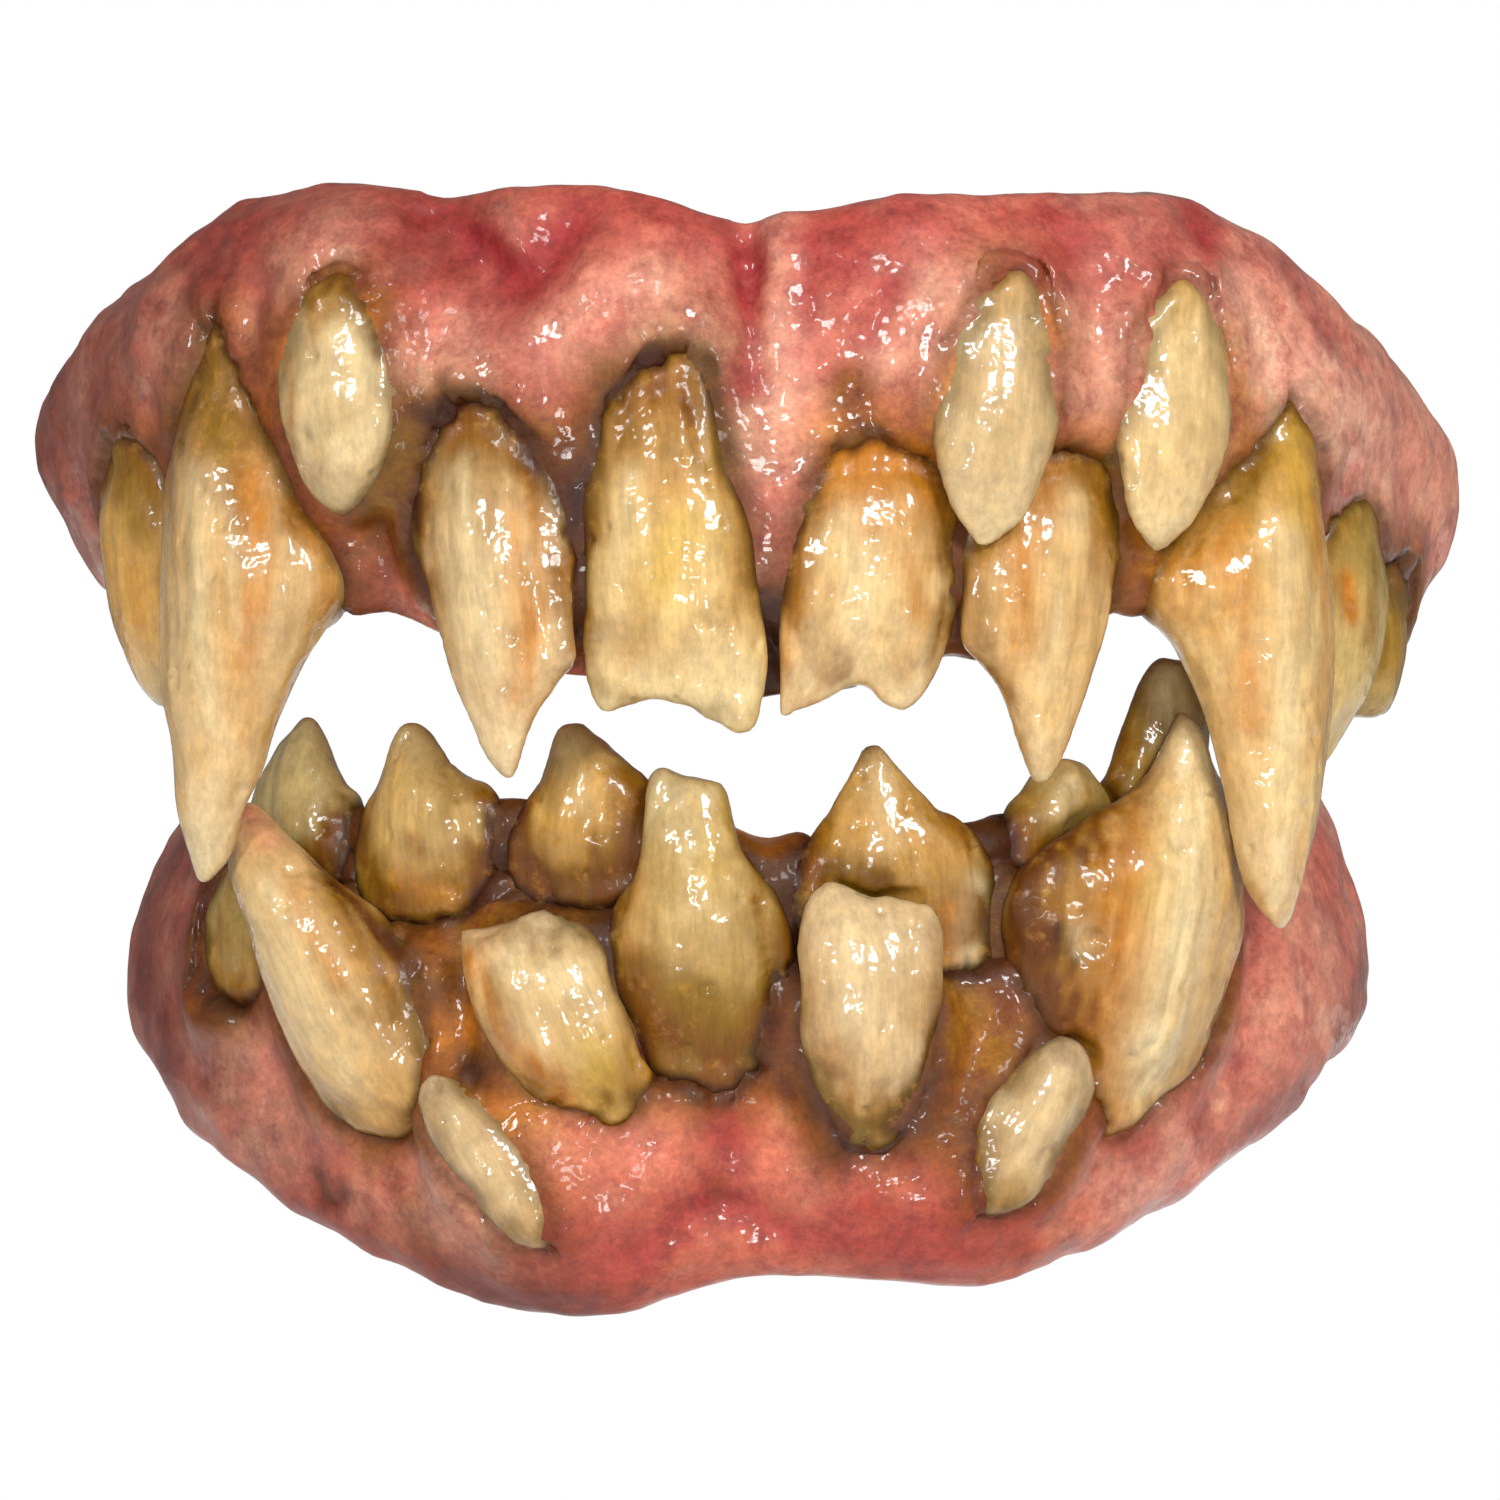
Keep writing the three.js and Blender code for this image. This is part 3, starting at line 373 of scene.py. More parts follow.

# Each stroke: its colour, width in mm, how strong it is, relief in mm, and its route in pixels of
# the picture. Deep strokes that carve creases and plum strokes along the contours are partly
# painted shade.
GUM_STROKES = {
    "upper_gum": [
        ("pale", 1.2, 0.35, 0.3, [(490, 222), (500, 246)]),
        ("pale", 1.8, 0.4, 0.45, [(172, 330), (186, 372)]),
        ("pale", 1.6, 0.3, 0.4, [(84, 400), (92, 430)]),
        # This pale stroke and the next lie where the wet gum glints: pale gum with a painted
        # highlight.
        ("pale", 2.2, 0.35, 0.3, [(330, 232), (300, 262)]),
        ("pale", 3.0, 0.35, 0.2, [(500, 330), (620, 300), (700, 330)]),
        ("pale", 1.5, 0.45, 0.5, [(778, 226), (779, 300), (782, 400), (776, 480)]),
        ("rose", 1.3, 0.8, 1.8, [(768, 490), (768, 520), (768, 560)]),
        ("rose", 1.0, 0.7, 0.8, [(545, 440), (558, 490), (566, 525)]),
        ("pale", 2.4, 0.5, 0.2, [(1235, 300), (1262, 380), (1290, 420)]),
        ("pale", 2.6, 0.6, 0.1, [(1320, 380), (1350, 430), (1370, 500)]),
        ("pale", 2.4, 0.4, 0.2, [(900, 340), (930, 300)]),
        ("pale", 2.0, 0.3, 0.2, [(1090, 320), (1100, 380)]),
        # Pale gum with a painted highlight where the wet gum glints.
        ("pale", 1.6, 0.4, 0.2, [(420, 380), (450, 358)]),
        # Deep strokes that carve a crease, here and below, are partly painted shade in the crease.
        ("deep", 1.9, 0.9, -1.3, [(432, 205), (470, 250), (512, 284), (545, 262), (556, 226)]),
        ("deep", 0.9, 0.8, -0.45, [(742, 232), (752, 268), (748, 300)]),
        ("deep", 2.2, 0.6, -0.2, [(825, 232), (835, 270)]),
        ("deep", 1.6, 0.5, -0.2, [(198, 225), (212, 262)]),
        ("deep", 3.0, 0.45, -0.3, [(1060, 232), (1150, 240), (1215, 222)]),
        ("deep", 1.2, 0.7, -0.35, [(1196, 205), (1212, 236)]),
        ("deep", 1.6, 0.5, -0.3, [(1285, 250), (1310, 300), (1345, 345)]),
        ("deep", 2.6, 0.4, 0.0, [(600, 205), (660, 215), (700, 240)]),
        ("deep", 0.9, 0.7, -0.4, [(868, 335), (884, 308), (892, 290)]),
        ("deep", 2.0, 0.4, 0.0, [(505, 330), (540, 370)]),
        ("deep", 2.4, 0.35, 0.0, [(1330, 480), (1350, 530)]),
        # Plum along the left contour: partly the gum's colour, partly painted shade.
        ("plum", 2.4, 0.6, 0.0,
         [(250, 190), (150, 255), (95, 300), (55, 370), (42, 470), (60, 545)]),
        ("plum", 2.0, 0.3, 0.0, [(230, 250), (190, 300), (140, 320), (90, 420)]),
        ("deep", 0.6, 0.8, -0.5, [(750, 240), (750, 320), (756, 392)]),
        ("deep", 0.6, 0.6, -0.4, [(806, 240), (805, 320)]),
        ("brown", 0.55, 0.8, -0.3, [(303, 300), (318, 272), (342, 262), (366, 280), (382, 330)]),
        ("orange", 0.5, 0.4, 0.0, [(290, 320), (284, 372), (284, 410)]),
        ("orange", 0.7, 0.5, 0.0, [(390, 300), (388, 380), (382, 470)]),
        ("brown", 1.0, 0.85, -0.3, [(402, 425), (388, 460), (378, 500), (392, 540)]),
        ("brown", 1.0, 0.85, 0.0, [(396, 430), (420, 408), (450, 392), (476, 420), (500, 450)]),
        ("black", 0.45, 0.8, -0.3, [(420, 412), (446, 394), (468, 400), (480, 424)]),
        ("olive", 1.2, 0.7, 0.0, [(395, 440), (380, 490)]),
        ("umber", 1.0, 0.9, -0.2, [(592, 430), (600, 390), (630, 356), (660, 350), (690, 380)]),
        ("black", 0.5, 0.85, -0.4, [(628, 372), (650, 352), (676, 356), (690, 384)]),
        ("brown", 1.0, 0.85, -0.3, [(604, 372), (592, 420), (586, 470), (580, 520)]),
        ("black", 0.55, 0.8, -0.3, [(588, 470), (578, 540), (574, 600), (574, 660)]),
        ("brown", 1.1, 0.8, 0.0, [(540, 500), (560, 540), (570, 600)]),
        ("orange", 1.4, 0.45, 0.0, [(500, 450), (530, 500)]),
        ("umber", 1.2, 0.9, 0.0, [(768, 600), (768, 650), (768, 700)]),
        ("black", 0.55, 0.8, 0.0, [(768, 600), (768, 650), (768, 700)]),
        ("umber", 1.0, 0.95, -0.3, [(850, 392), (856, 420), (900, 440), (940, 448)]),
        ("brown", 0.8, 0.85, -0.2, [(852, 380), (846, 440), (826, 470)]),
        ("orange", 1.3, 0.7, 0.0, [(826, 440), (880, 428), (935, 445)]),
        ("orange", 0.8, 0.7, 0.0, [(944, 372), (938, 420), (944, 468)]),
        ("orange", 0.8, 0.45, 0.0, [(1000, 282), (1030, 290), (1058, 340)]),
        ("orange", 1.0, 0.6, 0.0, [(1062, 440), (1100, 432), (1120, 450)]),
        ("olive", 0.9, 0.8, -0.2, [(1112, 446), (1122, 490), (1130, 540)]),
        ("orange", 1.0, 0.7, 0.0, [(1128, 520), (1140, 556)]),
        ("orange", 0.9, 0.5, 0.0, [(1226, 330), (1234, 400), (1214, 470), (1190, 520)]),
        ("brown", 1.2, 0.8, 0.0, [(960, 600), (958, 660)]),
        ("orange", 1.3, 0.6, 0.0, [(1150, 580), (1200, 520), (1250, 470)]),
        ("brown", 0.9, 0.6, -0.2, [(198, 340), (180, 400), (160, 455)]),
        ("black", 0.5, 0.6, -0.2, [(208, 325), (222, 362)]),
        ("black", 0.7, 0.6, -0.2, [(130, 468), (155, 482)]),
        ("brown", 0.9, 0.5, 0.0, [(100, 500), (106, 560)]),
        ("orange", 0.9, 0.5, 0.0, [(250, 440), (290, 490), (330, 530)]),
        ("brown", 0.8, 0.5, 0.0, [(318, 510), (342, 560), (350, 600)]),
        ("plum", 1.6, 0.45, 0.0, [(372, 570), (400, 610)]),
        ("brown", 0.8, 0.5, -0.2, [(1276, 424), (1300, 440)]),
        ("brown", 1.0, 0.5, 0.0, [(1340, 520), (1390, 560)]),
    ],
    "lower_gum": [
        ("rose", 1.8, 0.6, 0.5, [(668, 1060), (700, 1090), (720, 1100)]),
        ("rose", 1.4, 0.6, 0.3, [(590, 1130), (640, 1150)]),
        ("pale", 2.4, 0.3, 0.2, [(250, 1080), (290, 1130)]),
        ("pale", 2.6, 0.35, 0.2, [(440, 1200), (480, 1240)]),
        ("pale", 2.6, 0.2, 0.2, [(1290, 880), (1310, 960), (1270, 1040)]),
        ("pale", 2.4, 0.35, 0.2, [(1180, 1130), (1130, 1190)]),
        ("black", 1.0, 0.75, -0.2, [(335, 850), (352, 890), (380, 930)]),
        ("black", 1.0, 0.7, -0.2, [(590, 860), (604, 910), (610, 960)]),
        ("brown", 1.2, 0.7, 0.0, [(640, 1050), (680, 1075), (730, 1085)]),
        ("umber", 1.2, 0.6, 0.0, [(450, 990), (470, 1040), (500, 1070)]),
        ("ochre", 0.7, 0.7, 0.3, [(360, 900), (400, 945), (436, 985)]),
        ("black", 0.9, 0.7, -0.2, [(786, 850), (790, 920), (792, 1000)]),
        ("brown", 1.6, 0.8, 0.0, [(780, 1000), (800, 1060)]),
        ("black", 0.8, 0.6, -0.2, [(985, 830), (1000, 880), (1000, 960)]),
        ("umber", 1.2, 0.85, -0.2, [(1056, 1020), (1020, 1040), (985, 1080), (960, 1120)]),
        ("umber", 1.1, 1.0, -0.3, [(806, 1090), (822, 1130), (836, 1156)]),
        ("umber", 1.2, 1.0, -0.3, [(878, 1158), (908, 1138), (940, 1100)]),
        ("ochre", 0.9, 0.6, 0.2, [(1000, 900), (1000, 950)]),
        ("brown", 2.2, 0.7, 0.0, [(970, 930), (1004, 980), (985, 1040), (950, 1090)]),
        ("brown", 1.4, 0.5, 0.0, [(400, 930), (450, 960), (480, 1010)]),
        ("ochre", 0.9, 0.5, 0.2, [(964, 1000), (976, 1050)]),
        ("brown", 0.9, 0.7, -0.2, [(960, 1120), (956, 1170), (968, 1206)]),
        ("orange", 1.5, 0.85, 0.0, [(470, 1040), (506, 1066), (545, 1092), (600, 1110)]),
        ("orange", 1.6, 0.6, 0.0, [(440, 1060), (480, 1090), (520, 1110)]),
        ("black", 0.8, 0.8, -0.3, [(480, 1060), (494, 1078)]),
        ("black", 0.6, 0.85, -0.3, [(344, 1134), (358, 1136)]),
        ("brown", 0.5, 0.85, -0.4, [(365, 1168), (392, 1156), (428, 1146)]),
        ("black", 0.42, 0.85, -0.35, [(317, 1172), (322, 1196), (334, 1204), (340, 1192)]),
        ("brown", 1.4, 0.45, 0.0, [(370, 1130), (400, 1180), (420, 1240)]),
        ("deep", 1.6, 0.6, -0.3, [(1125, 1140), (1145, 1148)]),
        ("deep", 1.4, 0.7, -0.5, [(724, 1140), (722, 1200)]),
        ("brown", 0.7, 0.6, -0.4, [(720, 1190), (728, 1204)]),
        ("deep", 1.0, 0.6, -0.4, [(652, 1246), (710, 1204), (752, 1215), (785, 1236), (815, 1244)]),
        # Plum along the left, lower and right contours: partly the gum's colour, partly painted
        # shade.
        ("plum", 2.2, 0.7, 0.0, [(180, 845), (148, 900), (142, 980), (168, 1070)]),
        ("plum", 2.4, 0.6, 0.0, [(230, 1180), (330, 1250), (430, 1290), (540, 1310)]),
        ("plum", 1.8, 0.3, 0.0, [(215, 860), (190, 940), (210, 1060), (290, 1160), (360, 1225)]),
        ("plum", 1.8, 0.5, 0.0, [(440, 1270), (520, 1300), (600, 1300)]),
        ("plum", 1.6, 0.4, 0.0, [(1240, 1140), (1330, 1070), (1362, 980)]),
        ("brown", 0.9, 0.6, 0.0, [(210, 900), (218, 980), (240, 1016)]),
        ("orange", 0.9, 0.5, 0.0, [(205, 930), (208, 1000)]),
        ("deep", 2.2, 0.5, -0.2, [(560, 1240), (620, 1260)]),
        ("deep", 2.4, 0.5, -0.1, [(860, 1230), (940, 1250), (1020, 1230)]),
        ("deep", 1.4, 0.5, -0.3, [(1196, 1110), (1206, 1140)]),
        ("deep", 2.2, 0.4, 0.0, [(1310, 830), (1330, 900)]),
    ],
}


class Gum:
    """A gum plate's skin, drawn up to its teeth."""

    def __init__(self, node, seed):
        self.node = node
        self.seed = seed
        mesh = evaluated(cad_copy(node, joined=False), "REMESH", mode="VOXEL",
                         voxel_size=GUM_VOXEL)
        surface = self.surface = Surface(mesh)
        surface.fair(16)
        surface.smooth(3)
        tree = surface.tree()
        self.strokes = [
            (stroke_colour, strong, relief, touched(surface.points, sighted(tree, route), width))
            for stroke_colour, width, strong, relief, route in GUM_STROKES[node]]
        height = 0.07 * rough(surface.points, 3.2, seed)
        height += 0.04 * rough(surface.points, 1.1, seed + 1)
        for _, _, relief, share in self.strokes:
            height += relief * share
        surface.points += surface.normals() * height[:, None]
        self.cling()

    def cling(self):
        """Draws the skin onto the teeth, then raises a soft rim round them."""
        surface = self.surface
        for _ in range(3):
            places, gaps, _ = nearest(all_teeth, surface.points, 3.0)
            normals = surface.normals()
            way = (places - surface.points) / np.maximum(gaps, 1e-6)[:, None]
            facing = (way * normals).sum(1)
            open_side = ease(-0.75, -0.3, facing)
            pull = ease(1.5, 0.5, gaps) * open_side
            surface.points += way * ((gaps + 0.15) * pull)[:, None]
            buried = (1 - open_side) * np.clip(0.55 - gaps, 0, 0.55)
            surface.points += normals * buried[:, None]
            rugged = surface.points
            surface.smooth(9)
            surface.points = rugged + (surface.points - rugged) * ease(2.6, 1.2, gaps)[:, None]
            surface.smooth(1)
        _, self.gaps, faces = nearest(all_teeth, surface.points, 8.0)
        places, gaps, _ = nearest(all_teeth, surface.points, 4.0)
        normals = surface.normals()
        front = ease(0.2, -0.3, normals[:, 1])
        level = np.hypot(*(places - surface.points)[:, :2].T)
        beside = ease(0.45, 0.9, level / np.maximum(gaps, 0.01))
        height = 0.35 * np.exp(-((gaps - 0.8) / 0.7) ** 2)
        height += 0.9 * beside * np.exp(-(gaps / 1.5) ** 2)
        surface.points += normals * (height * front)[:, None]
        surface.smooth(2)
        self.beside = beside * front * np.exp(-(gaps / 1.7) ** 4)
        self.soil = np.array([TOOTH_TONES[face_teeth[face]][-1] if face >= 0 else 0
                              for face in faces.tolist()])

    def tone(self):
        """Each point's colour as it looks: flesh, stains, strokes, and painted shade on the rims,
        round the teeth and on the left side.
        """
        points, seed = self.surface.points, self.seed
        across, height = points[:, 0], points[:, 2]
        gaps, soil = self.gaps, self.soil
        broad = rough(points, 5.0, seed + 10)
        middle = rough(points, 2.0, seed + 11)
        fine = rough(points, 0.8, seed + 12)
        tone = np.tile(linear("d27866"), (len(points), 1))
        tone = tint(tone, linear("ac4848"), 0.65 * ease(-0.1, 1.4, broad + 0.4 * fine))
        tone = tint(tone, linear("e6a488"), 0.7 * ease(0.1, 1.5, middle - 0.5 * broad + 0.3 * fine))
        tone = tint(tone, linear("943838"), 0.45 * ease(0.6, 1.8, fine + 0.6 * middle))
        # Deeper red towards the outer rims of the plates: painted shade.
        tone = tint(tone, STAINS_AND_SHADES["deep"], 0.4 * ease(19, 27, np.abs(height) + 1.2 * middle))
        edge = -28 if self.node == "upper_gum" else -23
        left = ease(edge + 4, edge - 5, across + 1.8 * middle)
        tone = tint(tone, linear("b86e5c"), 0.6 * left)
        tone = tint(tone, linear("d8a48e"), 0.7 * left * ease(0.0, 1.2, fine + 0.5 * middle))
        pale = 0.4 if self.node == "upper_gum" else 0.15
        tone = tint(tone, linear("eeb49c"), pale * ease(12, 25, across + 2 * middle))

        # Stain round the teeth, then the brown web between the lower ones, with painted shade in
        # its creases and painted amber highlights
        tone = tint(tone, linear("c0702c"), 0.6 * soil * np.exp(-(gaps / 2.0) ** 2)
                    * ease(-1.2, 1.0, middle))
        tone = tint(tone, linear("84500c"), (0.15 + soil) * np.exp(-(gaps / 1.1) ** 2)
                    * ease(-1.6, 0.6, fine + 0.5 * middle))
        tone = tint(tone, linear("744208"), 1.3 * soil * self.beside)
        tone = tint(tone, linear("b8761e"), 0.6 * soil * self.beside * ease(0.2, 1.4, fine))
        if self.node == "lower_gum":
            tone = tint(tone, linear("b06638"), 0.25 * ease(20, 14, np.abs(across)))
            web = ease(-16.8, -13.8, height + 0.7 * middle) * ease(7.5, 4.0, gaps)
            web *= ease(22, 18, np.abs(across + 1.5))
            web *= ease(0.6, 0.1, self.surface.normals()[:, 1])
            tone = tint(tone, linear("d48a20"), 0.97 * web)
            tone = tint(tone, linear("6a3c0a"), 0.7 * web * ease(-0.5, 1.0, fine - 0.5 * middle))
            # Darker still close to the teeth: tartar and painted shade in the creases.
            tone = tint(tone, linear("4a2806"), 0.7 * web * np.exp(-(gaps / 1.3) ** 2))
            # Paler amber patches in the web: painted highlights.
            tone = tint(tone, linear("bc8844"), 0.7 * web * ease(0.5, 1.3, middle + 0.3 * broad))

        mottle = np.clip(1.15 + 0.2 * middle + 0.15 * fine, 0.6, 1.6)
        for stroke_colour, strong, _, share in self.strokes:
            tone = tint(tone, STAINS_AND_SHADES[stroke_colour], 1.2 * strong * np.minimum(share * mottle, 1))
        # A dark line where the skin meets the teeth: painted shade in the crevice, and dirt where
        # the tooth is soiled.
        tone = tint(tone, linear("3e2406"), (0.35 + 0.7 * soil) * np.exp(-(gaps / 0.45) ** 2))
        # Painted shade: the outer flank and the rim of the left side darkened, a little mottled.
        left_shade = self.left_shade()
        tone = tint(tone, linear("6e3434"), 0.5 * left_shade)
        tone = tint(tone, linear("93564e"), 0.5 * left_shade * ease(0.3, 1.4, middle + 0.5 * fine))
        for channel in range(3):
            tone[:, channel] = self.surface.blur(self.surface.blur(tone[:, channel]))
        return tone

    def left_shade(self):
        """How strongly painted shade darkens the outer flank and the rim of the left side, from 0
        to 1.
        """
        across, height = self.surface.points[:, 0], self.surface.points[:, 2]
        normals = self.surface.normals()
        flank = ease(0.5, 0.95, normals[:, 0] * np.sign(across)) * ease(-12, -24, across)
        rim = ease(0.15, 0.6, normals[:, 2] * np.sign(height)) * ease(17, 23, np.abs(height))
        return np.maximum(flank, rim * ease(-6, -18, across) * ease(0.4, -0.1, normals[:, 1]))


gums = {"upper_gum": Gum("upper_gum", 700), "lower_gum": Gum("lower_gum", 750)}
all_gums = {name: gum.surface.tree() for name, gum in gums.items()}

# The same for the teeth
TOOTH_STROKES = {
    "upper_left_fang": [
        ("orange", 0.8, 0.6, 0.0, [(250, 470), (258, 540), (255, 610), (246, 660)]),
        ("cream", 1.0, 0.5, 0.1, [(196, 480), (200, 600), (206, 720)]),
        ("olive", 1.1, 0.7, -0.1, [(205, 345), (214, 400), (222, 440)]),
        ("black", 0.4, 0.55, 0.0, [(180, 440), (196, 400)]),
        ("orange", 0.7, 0.4, 0.0, [(300, 500), (320, 560), (330, 600)]),
    ],
    "upper_left_premolar": [
        ("olive", 1.0, 0.7, 0.0, [(120, 460), (132, 520)]),
        ("orange", 0.6, 0.4, 0.0, [(130, 560), (140, 620)]),
    ],
    "upper_left_gum_tooth": [
        ("brown", 0.6, 0.7, 0.0, [(312, 300), (340, 280), (372, 310), (380, 350)]),
        ("orange", 0.5, 0.4, 0.0, [(290, 360), (290, 420)]),
    ],
    "upper_left_lateral_incisor": [
        ("brown", 0.8, 0.7, -0.1, [(425, 440), (445, 420), (480, 430)]),
        ("orange", 0.8, 0.6, 0.0, [(415, 520), (425, 590), (450, 680)]),
        ("orange", 1.1, 0.5, 0.0, [(520, 520), (535, 600), (520, 690)]),
        ("cream", 1.2, 0.55, 0.1, [(460, 480), (466, 560), (480, 660)]),
        ("brown", 0.6, 0.6, 0.0, [(556, 560), (572, 650)]),
    ],
    "upper_left_central_incisor": [
        ("brown", 0.9, 0.65, 0.0, [(640, 400), (670, 380), (690, 420)]),
        ("olive", 1.4, 0.5, 0.0, [(620, 420), (650, 440), (690, 450)]),
        ("yellow", 1.6, 0.4, 0.0, [(690, 520), (660, 580)]),
        ("cream", 0.9, 0.45, 0.1, [(628, 480), (620, 560), (612, 630)]),
        ("brown", 0.6, 0.5, 0.0, [(592, 520), (586, 620), (590, 690)]),
        ("olive", 0.5, 0.4, 0.0, [(600, 690), (660, 705), (730, 712)]),
    ],
    "upper_right_central_incisor": [
        ("orange", 1.2, 0.75, 0.0, [(830, 470), (870, 452), (930, 460)]),
        ("orange", 0.7, 0.5, 0.0, [(800, 520), (792, 600), (784, 660)]),
        ("cream", 1.4, 0.45, 0.1, [(850, 520), (860, 590), (850, 650)]),
        ("orange", 0.6, 0.5, 0.0, [(905, 560), (915, 610)]),
        ("brown", 0.5, 0.4, 0.0, [(946, 600), (930, 660)]),
    ],
    "upper_right_lateral_incisor": [
        ("orange", 0.9, 0.6, 0.0, [(1050, 470), (1020, 560), (1020, 640)]),
        ("cream", 0.9, 0.5, 0.1, [(1076, 500), (1064, 590), (1050, 680)]),
        ("brown", 0.8, 0.55, 0.0, [(975, 600), (985, 660), (1010, 700)]),
        ("olive", 0.8, 0.5, 0.0, [(1090, 460), (1110, 520)]),
    ],
    "upper_right_fang": [
        ("olive", 1.2, 0.6, 0.0, [(1282, 425), (1262, 460), (1240, 500)]),
        ("orange", 1.2, 0.5, 0.0, [(1230, 530), (1190, 560), (1160, 590)]),
        ("yellow", 1.0, 0.4, 0.0, [(1290, 440), (1300, 520)]),
        ("orange", 0.9, 0.6, 0.0, [(1240, 560), (1246, 640), (1250, 720)]),
        ("cream", 1.2, 0.55, 0.1, [(1286, 540), (1290, 660), (1288, 800)]),
        ("orange", 0.5, 0.5, 0.0, [(1316, 500), (1322, 600)]),
    ],
    "upper_right_premolar": [
        ("orange", 0.7, 0.85, -0.1, [(1348, 582), (1352, 612)]),
        ("brown", 0.6, 0.5, 0.0, [(1376, 560), (1370, 640)]),
    ],
    "lower_left_tusk": [
        ("brown", 1.5, 0.95, -0.15, [(310, 845), (350, 895), (385, 945), (412, 1005)]),
        ("ochre", 0.5, 0.6, 0.0, [(330, 900), (360, 960), (390, 1010)]),
        ("black", 0.5, 0.6, -0.1, [(290, 828), (340, 892), (390, 944)]),
        ("rose", 0.7, 0.5, 0.0, [(250, 812), (268, 840)]),
        ("orange", 0.5, 0.5, 0.0, [(292, 890), (306, 930), (340, 980)]),
        ("cream", 1.4, 0.5, 0.1, [(265, 900), (300, 1000), (350, 1080)]),
        ("brown", 0.4, 0.5, -0.15, [(360, 1012), (374, 1020)]),
    ],
    "lower_left_molar": [
        ("umber", 1.3, 1.0, 0.0, [(345, 815), (346, 880)]),
        ("brown", 0.9, 0.6, 0.0, [(320, 850), (300, 870)]),
    ],
    "lower_left_premolar": [
        ("umber", 1.0, 0.8, 0.0, [(494, 800), (498, 850), (480, 896)]),
        ("umber", 0.7, 0.6, 0.0, [(366, 850), (380, 896), (440, 912)]),
        ("orange", 0.8, 0.4, 0.0, [(400, 880), (450, 900)]),
        ("brown", 0.5, 0.5, 0.0, [(412, 840), (420, 850)]),
    ],
    "lower_left_lateral_incisor": [
        ("umber", 1.0, 0.85, 0.0, [(516, 796), (520, 850), (550, 900)]),
        ("umber", 1.1, 0.8, 0.0, [(640, 800), (636, 850), (610, 896)]),
        ("brown", 0.9, 0.6, 0.0, [(620, 780), (600, 850)]),
        ("cream", 0.9, 0.3, 0.0, [(570, 750), (580, 800)]),
    ],
    "lower_central_incisor": [
        ("brown", 1.2, 0.7, -0.1, [(640, 960), (660, 1030), (720, 1060)]),
        ("brown", 0.5, 0.7, -0.3, [(758, 900), (768, 950), (776, 990)]),
        ("orange", 0.8, 0.4, 0.0, [(636, 870), (630, 940)]),
        ("yellow", 1.2, 0.3, 0.0, [(720, 820), (700, 870)]),
        ("cream", 1.0, 0.35, 0.1, [(690, 800), (690, 900)]),
        ("brown", 0.8, 0.5, 0.0, [(778, 850), (786, 960)]),
    ],
    "lower_left_front_incisor": [
        ("orange", 1.0, 0.8, 0.0, [(470, 960), (500, 1040), (560, 1090)]),
        ("yellow", 1.2, 0.7, 0.0, [(600, 1080), (590, 1050)]),
        ("cream", 1.6, 0.5, 0.1, [(520, 950), (560, 980)]),
    ],
    "lower_right_front_incisor": [
        ("brown", 0.4, 0.5, 0.0, [(938, 930), (936, 1020), (920, 1080)]),
        ("orange", 0.8, 0.35, 0.0, [(830, 1050), (850, 1110)]),
        ("cream", 1.2, 0.4, 0.1, [(850, 930), (860, 1010)]),
    ],
    "lower_right_lateral_incisor": [
        ("umber", 1.2, 0.8, 0.0, [(796, 850), (820, 866), (880, 880)]),
        ("umber", 0.8, 0.7, 0.0, [(950, 790), (990, 820)]),
        ("brown", 0.7, 0.5, 0.0, [(990, 850), (996, 960)]),
        ("orange", 0.6, 0.8, 0.0, [(950, 910), (952, 985)]),
        ("cream", 0.9, 0.75, 0.1, [(976, 890), (972, 940), (974, 985)]),
        ("cream", 0.8, 0.3, 0.0, [(880, 770), (890, 840)]),
    ],
    "lower_right_premolar": [
        ("umber", 1.0, 0.9, 0.0, [(1010, 840), (1012, 880), (1004, 960)]),
        ("cream", 0.6, 0.4, 0.0, [(1070, 780), (1060, 810)]),
    ],
    "lower_right_back_tooth": [
        ("cream", 0.9, 0.6, 0.0, [(1165, 680), (1180, 730)]),
        ("brown", 0.7, 0.6, 0.0, [(1130, 740), (1116, 790)]),
    ],
    "lower_right_tusk": [
        ("orange", 2.2, 0.75, 0.0,
         [(1150, 790), (1130, 850), (1112, 940), (1096, 1040), (1096, 1110)]),
        # The left half brown, partly stain and partly painted shade, with umber darker towards the
        # left edge as painted shade.
        ("brown", 3.2, 1.0, 0.0, [(1096, 800), (1050, 850), (1030, 930), (1050, 1000)]),
        ("umber", 1.6, 0.85, 0.0,
         [(1130, 790), (1070, 826), (1020, 870), (1010, 930), (1030, 1000)]),
        ("ochre", 1.0, 0.4, 0.0, [(1080, 880), (1060, 900)]),
        ("yellow", 0.9, 0.5, 0.0, [(1176, 790), (1164, 850), (1152, 900)]),
        ("black", 0.35, 0.8, 0.0, [(1060, 930), (1064, 950), (1078, 958)]),
        ("cream", 1.9, 0.8, 0.1, [(1196, 760), (1190, 880), (1172, 1000), (1146, 1080)]),
        ("cream", 0.3, 0.6, 0.0, [(1082, 934), (1084, 948)]),
    ],
    "lower_right_low_tooth": [
        ("orange", 0.5, 0.4, 0.0, [(975, 1130), (975, 1190)]),
        ("cream", 1.0, 0.4, 0.1, [(1050, 1060), (1020, 1130)]),
    ],
    "lower_left_low_tooth": [
        ("cream", 0.9, 0.4, 0.1, [(450, 1120), (500, 1190)]),
        ("olive", 0.5, 0.4, 0.0, [(430, 1110), (446, 1170)]),
    ],
}


